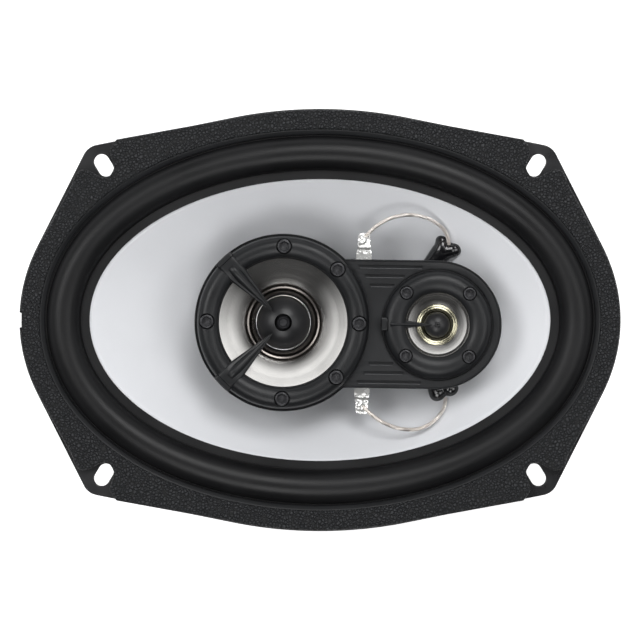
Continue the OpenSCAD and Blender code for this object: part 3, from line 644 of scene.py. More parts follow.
def weave_group():
    """Plain weave: threads as sines along X and Y, over and under by the sign of their product."""
    group, enter, leave = new_group(
        "Plain Weave",
        {"Thread Scale": 7000.0, **TWO_COLOURS},
        {"Colour": "NodeSocketColor", "Height": "NodeSocketFloat"},
    )
    w = Wires(group)
    parts = w.node("ShaderNodeSeparateXYZ")
    w.join(w.place(), parts.inputs[0])
    scale = enter.outputs["Thread Scale"]
    waves = [w.math("SINE", w.math("MULTIPLY", parts.outputs[k], scale)) for k in (0, 1)]
    height = w.span(w.math("MULTIPLY", *waves), -1.0, 1.0)
    w.mix_two(height, enter, leave)
    w.join(height, leave.inputs["Height"])
    return group


GROUPS = {}
MATERIALS = {}


def effect(name):
    """The node group of that name, built the first time it is asked for."""
    makers = {"tone": tone_group, "leather": leather_grain_and_shade_group, "metal": metal_group, "weave": weave_group}
    if name not in GROUPS:
        GROUPS[name] = makers[name]()
    return GROUPS[name]


def finish(name, group, values, bump=0.0, bump_distance=0.1, **fixed):
    """A Principled material whose colour, roughness and bump come from one effect with its own values."""
    if name in MATERIALS:
        return MATERIALS[name]
    material = bpy.data.materials.new(name)
    material.use_nodes = True
    tree = material.node_tree
    shader = tree.nodes["Principled BSDF"]
    for key, value in fixed.items():
        shader.inputs[key.replace("_", " ")].default_value = value
    w = Wires(tree)
    look = w.node("ShaderNodeGroup", node_tree=effect(group))
    for key, value in values.items():
        look.inputs[key].default_value = (*value, 1) if isinstance(value, tuple) else value
    w.join(look.outputs["Colour"], shader.inputs["Base Color"])
    if "Roughness" in look.outputs:
        w.join(look.outputs["Roughness"], shader.inputs["Roughness"])
    if bump:
        raised = w.node("ShaderNodeBump")
        raised.inputs["Strength"].default_value = bump
        raised.inputs["Distance"].default_value = bump_distance * MM
        w.join(look.outputs["Height"], raised.inputs["Height"])
        w.join(raised.outputs["Normal"], shader.inputs["Normal"])
    MATERIALS[name] = material
    return material


def lighter(colour, times):
    """The colour times a number, at most white; under 1 it comes out darker."""
    return tuple(min(1.0, c * times) for c in colour)


def toned(name, colour, spread, rough, cloud, grain, bump, distance=0.05, **fixed):
    """A moulded or painted surface: one colour, a little lighter in clouds, with fine grain."""
    values = {"Colour A": tuple(colour), "Colour B": lighter(colour, spread), "Rough A": rough[0],
              "Rough B": rough[1], "Cloud Scale": cloud, "Grain Scale": grain}
    return finish(name, "tone", values, bump, distance, **fixed)


def metal(name, colour, other, rough, scratch=300.0, bump=0.1):
    """A bare metal: two colours in blotches, with fine scratches."""
    values = {"Colour A": colour, "Colour B": other, "Rough A": rough[0], "Rough B": rough[1],
              "Scratch Scale": scratch}
    return finish(name, "metal", values, bump, 0.03, Metallic=1.0)


def settings():
    """The two groups of settings, for shape and for finish."""
    return bpy.context.scene.speaker_shape, bpy.context.scene.speaker_finish


def paint():
    return toned("Satin Black Paint", settings()[1].paint, 1.6, (0.26, 0.34), 90, 1500, 0.25,
                 Specular_IOR_Level=0.4)


def gasket_leather():
    colour = tuple(settings()[1].gasket)
    # Colour A, 0.35 times the gasket colour, darkens the creases as painted shade; Colour B, 2.6 times
    # lighter, lightens the grain's tops as a painted highlight
    values = {"Scale": 880.0, "Colour A": lighter(colour, 0.35), "Colour B": lighter(colour, 2.6)}
    return finish("Leather Grained Foam With Painted Highlight And Shade", "leather", values, 1.0, 0.36, Specular_IOR_Level=0.32)


def gasket_rubber():
    return toned("Smooth Gasket Band", (0.007, 0.0075, 0.0085), 1.4, (0.42, 0.52), 60, 2200, 0.2,
                 Specular_IOR_Level=0.3)


def surround_rubber():
    return toned("Surround Rubber", settings()[1].rubber, 1.4, (0.36, 0.44), 35, 1800, 0.12,
                 Specular_IOR_Level=0.24)


def cone_pearl():
    return toned("Pearl Cone Coating", settings()[1].cone, 1.04, (0.50, 0.58), 30, 1400, 0.12, 0.04,
                 Metallic=0.08, Coat_Weight=0.1, Coat_Roughness=0.4)


def pod_plastic():
    return toned("Pod Plastic", settings()[1].plastic, 1.5, (0.40, 0.48), 70, 3200, 0.3,
                 Specular_IOR_Level=0.26)


def bezel_plastic():
    return toned("Bezel Plastic", settings()[1].plastic, 1.3, (0.33, 0.40), 70, 3600, 0.18,
                 Specular_IOR_Level=0.30)


def bead_painted_highlight_plastic():
    # Pod plastic 2.6 times lighter: a painted highlight on the bead under each groove
    return toned("Bead Plastic Painted Highlight", lighter(settings()[1].plastic, 2.6), 1.3, (0.26, 0.32), 70, 3200, 0.1)


def plug_plastic():
    return toned("Plug Plastic", (0.010, 0.010, 0.011), 1.3, (0.36, 0.42), 60, 2600, 0.08,
                 Specular_IOR_Level=0.4)


def screw_oxide():
    return toned("Black Oxide", (0.016, 0.016, 0.018), 1.7, (0.30, 0.42), 400, 4000, 0.2, Metallic=0.4)


def adhesive():
    return toned("Black Adhesive", (0.006, 0.006, 0.007), 1.3, (0.16, 0.22), 120, 600, 0.03, Coat_Weight=0.4,
                 Coat_Roughness=0.08)


def horn_chrome():
    colour = tuple(settings()[1].horn)
    return metal("Metallised Horn", colour, lighter(colour, 0.93), (0.15, 0.21), 120.0, 0.03)


def horn_gold():
    return metal("Gold Tinted Horn", (0.66, 0.63, 0.46), (0.58, 0.55, 0.42), (0.18, 0.26), 120.0, 0.03)


def neck_shade_metal():
    # Darker metal for the midrange horn's neck: painted shade deep in the horn's throat
    return metal("Neck Metal Darkened As Painted Shade", (0.22, 0.20, 0.185), (0.17, 0.155, 0.145), (0.26, 0.34), 120.0, 0.03)


def bright_tin():
    return toned("Bright Tin", (0.88, 0.88, 0.86), 1.05, (0.20, 0.28), 200, 900, 0.04, Metallic=0.7)


def braid_tin():
    return metal("Tinned Braid", (0.88, 0.84, 0.80), (0.72, 0.66, 0.61), (0.34, 0.46), 900.0, 0.1)


def zinc():
    return metal("Zinc Plate", (0.60, 0.62, 0.66), (0.66, 0.64, 0.56), (0.28, 0.42), 420.0, 0.25)


def nickel():
    return metal("Nickel Plate", (0.62, 0.60, 0.57), (0.55, 0.54, 0.52), (0.18, 0.28), 300.0, 0.1)


def copper_wire():
    return metal("Enamelled Copper", (0.72, 0.30, 0.14), (0.60, 0.24, 0.10), (0.25, 0.35), 2600.0, 0.6)


def ferrite():
    return toned("Ground Ferrite", (0.020, 0.020, 0.021), 2.6, (0.55, 0.75), 160, 900, 0.5, 0.08)


def laminate():
    return toned("Paper Laminate", (0.16, 0.065, 0.025), 1.35, (0.35, 0.5), 120, 1400, 0.2)


def former_film():
    return toned("Former Film", (0.42, 0.20, 0.05), 1.2, (0.2, 0.3), 120, 800, 0.05)


def spider_cloth():
    values = {"Thread Scale": 7000.0, "Colour A": (0.26, 0.15, 0.05), "Colour B": (0.56, 0.37, 0.15)}
    return finish("Resin Dipped Cloth", "weave", values, 0.7, 0.12, Roughness=0.7)


def insulation(name, colour):
    return toned(name, colour, 1.25, (0.30, 0.38), 200, 1500, 0.1)


def capacitor_sleeve():
    return toned("Capacitor Sleeve", (0.02, 0.07, 0.24), 1.2, (0.18, 0.26), 150, 900, 0.05)


def dome_film():
    return toned("Dome Film", (0.50, 0.47, 0.36), 1.12, (0.16, 0.24), 200, 900, 0.05, Metallic=0.85)


def mid_rubber():
    return toned("Midrange Surround", (0.02, 0.02, 0.022), 1.4, (0.5, 0.6), 200, 2500, 0.2)


# ---------------------------------------------------------------------------
# Outlines and parts that several pieces use
# ---------------------------------------------------------------------------


def notched(loop):
    """The outline with its small locating notch at the left end."""
    at_notch = (loop[:, 0] < 0) & (np.abs(loop[:, 1]) < NOTCH_HALF)
    first = int(np.argmax(at_notch))
    left = loop[at_notch, 0].min() + 0.05
    notch = [(left, NOTCH_HALF), (NOTCH_X, NOTCH_HALF), (NOTCH_X, -NOTCH_HALF), (left, -NOTCH_HALF)]
    return np.concatenate([loop[:first], soften(notch, 0.5, closed=False), loop[first:][~at_notch[first:]]])


def slot_loop(sx, sy, grow=0.0):
    """A slot in an ear: two half circles joined by straight sides, leaning by the slot's tilt."""
    r = SLOT_R + grow
    shape = np.concatenate([arc(SLOT_HALF, 0, r, -90, 90, 24), arc(-SLOT_HALF, 0, r, 90, 270, 24)])
    q = sx * sy * SLOT_TILT
    turn = np.array([[math.cos(q), math.sin(q)], [-math.sin(q), math.cos(q)]])
    return shape @ turn + [sx * SLOT_X, sy * SLOT_Y]


EAR_CUT = [
    (96.6, 53.0), (95.5, 56.4), (93.6, 58.3), (91.0, 58.6), (88.4, 57.4), (85.2, 55.7), (82.2, 56.1),
    (80.3, 59.6), (81.2, 63.0), (82.0, 66.2), (80.9, 68.4), (79.3, 70.4),
]


def gasket_outline():
    """The flange's outline a little smaller, bent inwards round each ear so that the slot's steel shows."""
    loop = notched(outline_points(720, 0.6))
    for sx, sy in EARS:
        in_ear = (loop[:, 0] * sx > 79.2) & (loop[:, 1] * sy > 52.9)
        path = through(EAR_CUT, 6) * [sx, sy]
        if sx * sy < 0:
            path = path[::-1]
        first = int(np.argmax(in_ear))
        loop = np.concatenate([loop[:first], path, loop[first:][~in_ear[first:]]])
    return loop


# Angle of each leg of the basket, with half its width
LEGS = ((35.6, 8.0), (90.0, 15.0), (144.4, 8.0), (215.6, 8.0), (270.0, 15.0), (324.4, 8.0))


def leg_gap(points, angle, half):
    """How far points lie outside a leg's edge, along the leg's counterclockwise side."""
    q = math.radians(angle)
    return points @ np.array([-math.sin(q), math.cos(q)]) - half


def window_loop(leg, next_leg):
    """The window between two legs: an oval arc outside, a round arc inside, straight along both legs."""
    turn = next_leg[0] - leg[0] if next_leg[0] > leg[0] else next_leg[0] + 360 - leg[0]
    middle = math.radians(leg[0] + turn / 2)
    q = middle + np.linspace(-math.pi / 2, math.pi / 2, 1801)
    arcs = []
    for a, b in ((94.0, 60.0), (48.5, 48.5)):
        p = np.stack([a * np.cos(q), b * np.sin(q)], -1)
        back = math.radians(next_leg[0])
        after = p @ np.array([math.sin(back), -math.cos(back)]) - next_leg[1]
        p = p[(leg_gap(p, *leg) > 0) & (after > 0)]
        ends = (np.linalg.norm(p - p[0], axis=1) > 7) & (np.linalg.norm(p - p[-1], axis=1) > 7)
        arcs.append(np.concatenate([p[:1], p[ends][::12], p[-1:]]))
    loop = np.concatenate([arcs[0], arcs[1][::-1]])
    corners = [0, len(arcs[0]) - 1, len(arcs[0]), len(loop) - 1]
    radius = np.zeros(len(loop))
    radius[corners] = 5.0
    return soften(loop, radius, 6)


def pressed(points, height):
    """Raises a rounded rib along the middle of each leg: height times a bell curve across the leg."""
    r = np.hypot(points[:, 0], points[:, 1])
    lift = np.zeros(len(points))
    for angle, half in LEGS:
        q = math.radians(angle)
        along = points[:, :2] @ np.array([math.cos(q), math.sin(q)])
        across = points[:, :2] @ np.array([-math.sin(q), math.cos(q)])
        lift = np.maximum(lift, np.where(along > 0, np.exp(-((across / (half * 0.36)) ** 4)), 0))
    fade = smoothstep((r - 50) / 5) * smoothstep((points[:, 2] + 12.4) / -3)
    return points - np.stack([0 * r, 0 * r, height * lift * fade], -1)


def pod_loop(shrink=0.0):
    """The pod's outline: a circle round the midrange joined by straight sides to one round the tweeter."""
    big, small = POD_MID_R - shrink, POD_TWEETER_R - shrink
    meet = math.degrees(math.asin(small / big))
    joint = MID_X + math.sqrt(big**2 - small**2)
    side = np.linspace(joint, TWEETER_X, 26)[1:-1]
    lower = np.stack([side, np.full(len(side), -small)], -1)
    return np.concatenate([
        arc(MID_X, 0, big, meet, 360 - meet, 150), lower, arc(TWEETER_X, 0, small, -90, 90, 90),
        lower[::-1] * [1, -1],
    ])


def blob(name, lumps, body, material, stands_for=(), voxel=0.3, rounds=6):
    """Adhesive or solder: ball-ended tubes melted into one skin by a voxel remesh and smoothed."""
    shape = Shape()
    for path in lumps:
        path = np.asarray(path, float)
        curve = through(path, 8)
        shape.tube(curve[:, :3], curve[:, 3], 24)
        for x, y, z, r in path[[0, -1]]:
            q = np.linspace(0.02, math.pi - 0.02, 20)
            shape.lathe(np.stack([r * np.sin(q), z + 0.85 * r * np.cos(q)], -1), 28, (x, y), closed=True)
    piece = make_piece(shape, name, material, None)
    melt = piece.modifiers.new("Melt", "REMESH")
    melt.mode, melt.voxel_size = "VOXEL", voxel * MM
    relax = piece.modifiers.new("Relax", "SMOOTH")
    relax.factor, relax.iterations = 0.6, rounds
    baked(piece)
    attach(piece, body)
    if stands_for:
        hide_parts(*stands_for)
    return piece


def add_screw(shape, x, y, z, r, h):
    """A cap screw: rings from the head's foot over its edge and down into the hexagon socket."""
    q = np.arange(48) * TAU / 48
    socket_r = hexagon_radius(q, r * 0.60)
    top = z + h
    rings = [
        (r, z), (r, top - 0.35), (r - 0.1, top - 0.12), (r - 0.35, top), (socket_r + 0.4, top),
        (socket_r, top - 0.3), (socket_r, z + h * 0.45), (socket_r * 0.1, z + h * 0.40),
    ]
    points = np.stack([
        np.stack([x + radius * np.cos(q), y + radius * np.sin(q), np.full(48, height)], -1)
        for radius, height in rings
    ])
    return shape.capped(points)


def around(cx, r, angles):
    """Places on a circle, as a list of (x, y)."""
    return [(cx + r * math.cos(math.radians(a)), r * math.sin(math.radians(a))) for a in angles]


def add_fin(shape, cx, angle, sections, power):
    """A bar along a radius: superellipse sections at (distance, half width, low, high)."""
    rings = []
    for reach, half_w, low, high in sections:
        w, h = superellipse(half_w, (high - low) / 2, power, 40)
        rings.append(np.stack([np.full(40, reach), w, (high + low) / 2 + h], -1))
    p = np.stack(rings)
    c, s = math.cos(math.radians(angle)), math.sin(math.radians(angle))
    x, y, z = np.moveaxis(p, -1, 0)
    return shape.capped(np.stack([cx + x * c - y * s, x * s + y * c, z], -1))


def crown(r_in, r_out, foot, top, mouth):
    """A bezel's top: a half round from foot to mouth, height above its sloping base by sin q to the 0.8."""
    q = np.linspace(0, math.pi, 33)
    middle, half = (r_in + r_out) / 2, (r_out - r_in) / 2
    base = foot + (mouth - foot) * q / math.pi
    return np.stack([middle + half * np.cos(q), base + (top - base) * np.sin(q) ** 0.8], -1)


def add_area(name, at, to, size, energy):
    """A soft square lamp at a place, facing another."""
    lamp = bpy.data.lights.new(name, "AREA")
    lamp.size, lamp.energy = size, energy
    holder = add_object(name, lamp)
    holder.location = at
    holder.rotation_euler = (Vector(to) - Vector(at)).to_track_quat("-Z", "Y").to_euler()


# ---------------------------------------------------------------------------
# Operators, one for each piece or group of like pieces
# ---------------------------------------------------------------------------


class SPEAKER_OT_stage(bpy.types.Operator):
    """Make the floor, the lamps, the world and the camera that looks straight down on the speaker"""

    bl_idname = "speaker.stage"
    bl_label = "Stage"

    def execute(self, context):
        scene = context.scene
        scene.view_settings.view_transform = "Standard"
        floor = bpy.data.meshes.new("floor")
        ends, height = (-2.5, 2.5), (MOTOR_BOTTOM - 0.2) * MM
        floor.from_pydata([(x, y, height) for x in ends for y in ends], [], [(0, 2, 3, 1)])
        ground = add_object("floor", floor)
        pale = bpy.data.materials.new("Pale Floor")
        pale.use_nodes = True
        shader = pale.node_tree.nodes["Principled BSDF"]
        shader.inputs["Base Color"].default_value = (0.93, 0.93, 0.93, 1)
        shader.inputs["Roughness"].default_value = 0.9
        shader.inputs["Emission Color"].default_value = (1, 1, 1, 1)
        shader.inputs["Emission Strength"].default_value = 0.6
        floor.materials.append(pale)
        world = bpy.data.worlds.new("Studio")
        world.use_nodes = True
        self.studio_walls(world.node_tree)
        scene.world = world
        for name, at, energy in (
            ("lamp_far", (0.19, 0.58, 1.02), 6.3), ("lamp_left", (-0.64, 0.19, 0.98), 4.4),
            ("lamp_right", (0.66, -0.02, 0.98), 2.4), ("lamp_near", (-0.09, -0.58, 1.02), 4.2),
        ):
            add_area(name, at, (0, 0, 0), 0.5, energy)
        camera = bpy.data.cameras.new("camera")
        distance, seen_width = 1.1, 0.25
        camera.sensor_width = 36
        camera.lens = camera.sensor_width * distance / seen_width
        scene.camera = add_object("camera", camera)
        scene.camera.location = (0, 0, distance + 2 * MM)
        return {"FINISHED"}

    def studio_walls(self, tree):
        """Bright walls low down, a dark ceiling, and less light from the near side than from the far side."""
        w = Wires(tree)
        parts = w.node("ShaderNodeSeparateXYZ")
        w.join(w.node("ShaderNodeTexCoord").outputs["Generated"], parts.inputs[0])
        walls = w.span(parts.outputs[2], 0.24, 0.50, 1.2, 0.06)
        sides = w.span(parts.outputs[1], -0.7, 0.35, 0.04, 1.0)
        w.join(w.math("MULTIPLY", walls, sides), tree.nodes["Background"].inputs["Strength"])
        tree.nodes["Background"].inputs["Color"].default_value = (0.98, 0.99, 1.0, 1)


class SPEAKER_OT_leads(bpy.types.Operator):
    """Make the braided leads: helices wound both ways round a core, their radius waving over and under"""

    bl_idname = "speaker.leads"
    bl_label = "Braided Leads"

    def execute(self, context):
        strands = context.scene.speaker_shape.braid_strands
        for name, route in (("tinsel_lead_upper", LEAD_UPPER), ("tinsel_lead_lower", LEAD_LOWER)):
            path = through(route, 14)
            step = np.linalg.norm(np.diff(path, axis=0), axis=1)
            run = np.concatenate([[0], np.cumsum(step)])
            length = run[-1]
            even = np.linspace(0, length, 170)
            line = np.stack([np.interp(even, run, path[:, k]) for k in range(3)], -1)
            along = np.gradient(line, axis=0)
            along /= np.linalg.norm(along, axis=1)[:, None]
            side = carried_sides(along)
            up = np.cross(along, side)
            shape = Shape().tube(line, 0.36, 12)
            for turn in (1, -1):
                for k in range(strands):
                    q = turn * even * TAU / LEAD_PITCH + k * TAU / strands
                    weave = 0.5 + 0.09 * turn * np.sin(even * TAU / LEAD_PITCH * strands)
                    offset = np.cos(q)[:, None] * side + np.sin(q)[:, None] * up
                    shape.tube(line + weave[:, None] * offset, 0.23, 6)
            piece = make_piece(shape, name + "_braid", braid_tin(), None, weld=False)
            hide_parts(name)

            def share(points):
                """The place along the route of its nearest point, eased from the lug to the cone."""
                near = np.concatenate([
                    ((part[:, None] - line) ** 2).sum(2).argmin(1) for part in np.array_split(points, 16)
                ])
                return smoothstep((near / (len(line) - 1) - 0.12) / 0.76)

            blend_by(piece, WOOFER_BODY, Vector(route[0]) * MM, Vector(route[-1]) * MM, share)
        return {"FINISHED"}


class SPEAKER_OT_basket(bpy.types.Operator):
    """Make the pressed steel basket: flange, wall, a funnel ruled from an oval to a circle, and dish"""

    bl_idname = "speaker.basket"
    bl_label = "Basket"

    def execute(self, context):
        flange = Shape()
        holes = [slot_loop(sx, sy) for sx in (-1, 1) for sy in (-1, 1)]
        edge = notched(outline_points(720))
        flange.slab([edge, oval_points(oval_angles(360), 16.3)] + holes, 0, SHEET, 0.4)
        make_piece(flange, "basket_flange", paint(), FRAME_BODY, ["basket"])
        basin = [(16.9, 0.9), (16.6, -1.5), (16.6, FUNNEL_TOP), (12.0, FUNNEL_TOP), (7.6, FUNNEL_TOP)]
        basin = soften(basin, [0, 0.8, 1.6, 0, 0], 6, closed=False)
        side = Shape().oval(wall(basin, SHEET))
        make_piece(side, "basket_wall", paint(), FRAME_BODY, ["basket"])
        share = np.linspace(0, 1, 34)[:, None]
        phi = oval_angles(480)
        top = oval_points(phi, 8.0)
        ring = FUNNEL_R * np.stack([np.cos(phi), np.sin(phi)], -1)
        sheets = []
        for drop in (-SHEET / 2, SHEET / 2):
            xy = (1 - share[..., None]) * top + share[..., None] * ring
            z = np.broadcast_to(FUNNEL_TOP - FUNNEL_DEPTH * share + drop, xy.shape[:2])
            sheets.append(np.concatenate([xy, z[..., None]], -1))
        funnel = Shape().grid(np.concatenate([sheets[1], sheets[0][::-1]]), wrap_rows=True)
        rib = context.scene.speaker_shape.rib_height / MM
        funnel.moved(lambda p: pressed(p, rib))
        piece = make_piece(funnel, "basket_legs", paint(), FRAME_BODY, ["basket"])
        cutters = []
        for leg, next_leg in zip(LEGS, LEGS[1:] + LEGS[:1]):
            cutters.append(cutter_from(Shape().slab([window_loop(leg, next_leg)], -60, 0, 0.01, 1)))
        carve(piece, cutters)
        dish = [(FUNNEL_R, -36.2), (FUNNEL_R, -37.6), (40.6, -37.6), (40.6, -49.4), (19.8, -49.4)]
        dish = soften(dish, [0, 1.0, 1.4, 2.0, 0], 6, closed=False)
        lower = Shape().lathe(wall(dish, SHEET), 192)
        make_piece(lower, "basket_dish", paint(), FRAME_BODY, ["basket"])
        pad = soften([(-13, -42.4), (13, -42.4), (13, -39.0), (-13, -39.0)], 0.8)
        pad = Shape().slab([pad], -48.5, -39.5, 0.5)
        make_piece(pad, "terminal_bracket", paint(), FRAME_BODY, ["basket"])
        return {"FINISHED"}


class SPEAKER_OT_gasket(bpy.types.Operator):
    """Make the leather-grained gasket and the smooth bevelled band along its inner edge"""

    bl_idname = "speaker.gasket"
    bl_label = "Gasket"

    def execute(self, context):
        inner = GASKET_IN_D + GASKET_BAND
        loops = [gasket_outline(), oval_points(oval_angles(360), inner)]
        sheet = Shape().slab(loops, SHEET, GASKET_TOP, 0.7, 5)
        make_piece(sheet, "gasket_sheet", gasket_leather(), FRAME_BODY, ["gasket"])
        outer, low, high = inner + 0.6, 2.04, 4.3
        band = [(GASKET_IN_D, low), (outer, low), (outer, high), (inner - 0.2, high), (GASKET_IN_D, 3.2)]
        band = Shape().oval(soften(band, 0.35))
        make_piece(band, "gasket_band", gasket_rubber(), FRAME_BODY, ["gasket"])
        return {"FINISHED"}


def oval_offset(points):
    """Distance outwards from the cone's edge ellipse, by the nearest of many points on it."""
    q = np.linspace(0, TAU, 1440, endpoint=False)
    edge = np.stack([CONE_A * np.cos(q), CONE_B * np.sin(q)], -1)
    near = np.sqrt(np.concatenate([
        ((part[:, None, :2] - edge) ** 2).sum(2).min(1) for part in np.array_split(points, 40)
    ]))
    inside = (points[:, 0] / CONE_A) ** 2 + (points[:, 1] / CONE_B) ** 2 < 1
    return np.where(inside, -near, near)


class SPEAKER_OT_surround(bpy.types.Operator):
    """Make the rubber surround: half an ellipse carried round the oval"""

    bl_idname = "speaker.surround"
    bl_label = "Surround"

    def execute(self, context):
        shape = context.scene.speaker_shape
        t, height = shape.rubber_thickness / MM, shape.roll_height / MM
        q = np.linspace(math.pi, 0, 29)
        middle, half = (ROLL_IN_D + ROLL_OUT_D) / 2, (ROLL_OUT_D - ROLL_IN_D) / 2
        foot = CONE_EDGE_Z + (SHEET - CONE_EDGE_Z) * np.linspace(0, 1, 29) + t / 2
        roll = np.stack([middle + half * np.cos(q), foot + height * np.sin(q)], -1)
        start, end = roll[0, 1], roll[-1, 1]
        line = np.concatenate([[(0.1, start), (2.0, start)], roll, [(18.6, end), (21.1, end)]])
        radius = np.zeros(len(line))
        radius[[2, -3]] = 0.6
        line = soften(line, radius, 5, closed=False)
        strip = Shape().oval(wall(line, t))
        piece = make_piece(strip, "surround_roll", surround_rubber(), None, ["surround"])

        def share(points):
            """1 on the lip that is bonded to the cone, easing to 0 at the roll's outer foot."""
            return 1 - smoothstep((oval_offset(points) - ROLL_IN_D) / (ROLL_OUT_D - ROLL_IN_D))

        ends = [((CONE_A + d) * MM, 0, 0) for d in (ROLL_OUT_D, ROLL_IN_D)]
        blend_by(piece, WOOFER_BODY, *ends, share)
        return {"FINISHED"}


class SPEAKER_OT_cone(bpy.types.Operator):
    """Make the silver cone: ruled from a round neck to an oval edge, and raised by half a sine"""

    bl_idname = "speaker.cone"
    bl_label = "Woofer Cone"

    def execute(self, context):
        bow = context.scene.speaker_shape.cone_bow / MM
        s = np.linspace(0, 1, 40)[:, None]
        phi = oval_angles(360)
        neck = NECK_R * np.stack([np.cos(phi), np.sin(phi)], -1)
        xy = (1 - s[..., None]) * neck + s[..., None] * oval_points(phi, 0.0)
        z = NECK_Z + (CONE_EDGE_Z - NECK_Z) * s + bow * np.sin(math.pi * s)
        top = np.concatenate([xy, np.broadcast_to(z, xy.shape[:2])[..., None]], -1)
        margin = np.concatenate([oval_points(phi, CONE_MARGIN), np.full((360, 1), CONE_EDGE_Z)], -1)[None]
        rows = np.concatenate([top, margin, margin - [0, 0, 0.9], top[::-1] - [0, 0, 1.08]])
        shell = Shape().grid(rows, wrap_rows=True)
        make_piece(shell, "cone_shell", cone_pearl(), WOOFER_BODY, ["cone"])
        upper = [
            [(42.4, 20.6, -12.2, 2.9), (45.6, 24.6, -10.9, 3.4), (48.0, 28.0, -9.6, 3.6),
             (48.2, 31.2, -9.1, 2.7)],
            [(44.0, 22.0, -11.6, 3.2), (48.6, 26.4, -9.8, 3.6), (53.0, 27.8, -8.9, 2.9)],
            [(47.0, 26.0, -10.2, 3.4), (50.2, 29.0, -9.6, 2.9)],
        ]
        lower = [
            [(43.4, -21.4, -12.2, 3.1), (45.4, -25.2, -10.9, 3.5), (46.4, -28.8, -9.9, 3.5)],
            [(45.0, -24.0, -11.2, 3.3), (51.6, -27.2, -9.3, 3.2)],
        ]
        for name, lumps in (("lead_dab_upper", upper), ("lead_dab_lower", lower)):
            blob(name + "_glue", lumps, WOOFER_BODY, adhesive(), [name], rounds=9)
        return {"FINISHED"}


class SPEAKER_OT_spider(bpy.types.Operator):
    """Make the cloth spider: a disc in sine waves that fade at its flats"""

    bl_idname = "speaker.spider"
    bl_label = "Spider"

    def execute(self, context):
        flat_in, flat_out, waves, wave_height = 2.5, 4.6, 6, 1.3
        r = np.linspace(SPIDER_IN, SPIDER_OUT, 130)
        q = (r - SPIDER_IN - flat_in) / (SPIDER_OUT - SPIDER_IN - flat_in - flat_out)
        swell = np.clip(waves * np.minimum(q, 1 - q), 0, 1)
        line = np.stack([r, SPIDER_Z + wave_height * np.sin(waves * TAU * q) * swell], -1)
        disc = Shape().lathe(wall(line, 0.5), 192)
        piece = make_piece(disc, "spider_disc", spider_cloth(), None, ["spider"])
        hold, glued = 18.0, 40.0

        def share(points):
            """1 at the voice coil, easing to 0 at the glued outer flat."""
            return 1 - smoothstep((np.hypot(points[:, 0], points[:, 1]) - hold) / (glued - hold))

        blend_by(piece, WOOFER_BODY, (glued * MM, 0, -0.037), (hold * MM, 0, -0.037), share)
        return {"FINISHED"}


class SPEAKER_OT_motor(bpy.types.Operator):
    """Make the magnet system: plates and ferrite ring with eased edges, glue beads and the yoke's channel"""

    bl_idname = "speaker.motor"
    bl_label = "Motor"

    def execute(self, context):
        def ring(r_in, r_out, low, high, edge):
            return soften([(r_in, low), (r_out, low), (r_out, high), (r_in, high)], edge, 5)

        plate = Shape().lathe(ring(16.8, 42.5, -56, -50, 0.6), 160)
        make_piece(plate, "top_plate_ring", zinc(), FRAME_BODY, ["top_plate"])
        magnet = Shape().lathe(ring(22.2, 47.0, -72, -56, 1.2), 160)
        make_piece(magnet, "ferrite_ring", ferrite(), FRAME_BODY, ["ferrite_magnet"])
        yoke = [(5.1, -71.5), (11, -71.5), (11, -78), (45, -78), (45, -72), (14.5, -72), (14.5, -50),
                (5.1, -50)]
        yoke = Shape().lathe(soften(yoke, [0.1, 0.3, 0.5, 1.0, 0.8, 0.5, 0.5, 0.4], 5), 160)
        piece = make_piece(yoke, "yoke_plate", zinc(), FRAME_BODY, ["pole_yoke"])
        groove = [(-2.25, -50), (2.25, -50), (2.25, -8), (-2.25, -8)]
        carve(piece, [cutter_from(Shape().slab([groove], -80, -75, 0.01, 1))])
        beads = Shape()
        for r, z in ((42.9, -56), (45.3, -72)):
            q = np.linspace(0, TAU, 17)[:-1]
            beads.lathe(np.stack([r + 0.55 * np.cos(q), z + 0.45 * np.sin(q)], -1), 160)
        make_piece(beads, "magnet_glue", adhesive(), FRAME_BODY)
        return {"FINISHED"}


class SPEAKER_OT_terminals(bpy.types.Operator):
    """Make the terminal board and its wide and narrow blades"""

    bl_idname = "speaker.terminals"
    bl_label = "Terminals"

    def execute(self, context):
        board = soften([(-13, -48.5), (13, -48.5), (13, -39.5), (-13, -39.5)], 1.0)
        plate = Shape().slab([board], -44, -42.4, 0.2).moved(swap_yz)
        make_piece(plate, "terminal_plate", laminate(), FRAME_BODY, ["terminal_board"])
        for name, x, width in (("terminal_positive", 7.0, 6.35), ("terminal_negative", -7.0, 4.75)):
            left, right, corner = x - width / 2, x + width / 2, 1.1
            foot = soften([(left, -48), (right, -48), (right, -40), (left, -40)], 0.5)
            blade = [(left, -44.2), (right, -44.2), (right, -55.6), (right - corner, -57),
                     (left + corner, -57), (left, -55.6)]
            shape = Shape().slab([foot], -44.8, -44, 0.16).moved(swap_yz)
            shape.slab([blade, circle(x, -53, 0.85, 32)], -48, -47.2, 0.16)
            make_piece(shape, name + "_blade", bright_tin(), FRAME_BODY, [name])
        return {"FINISHED"}


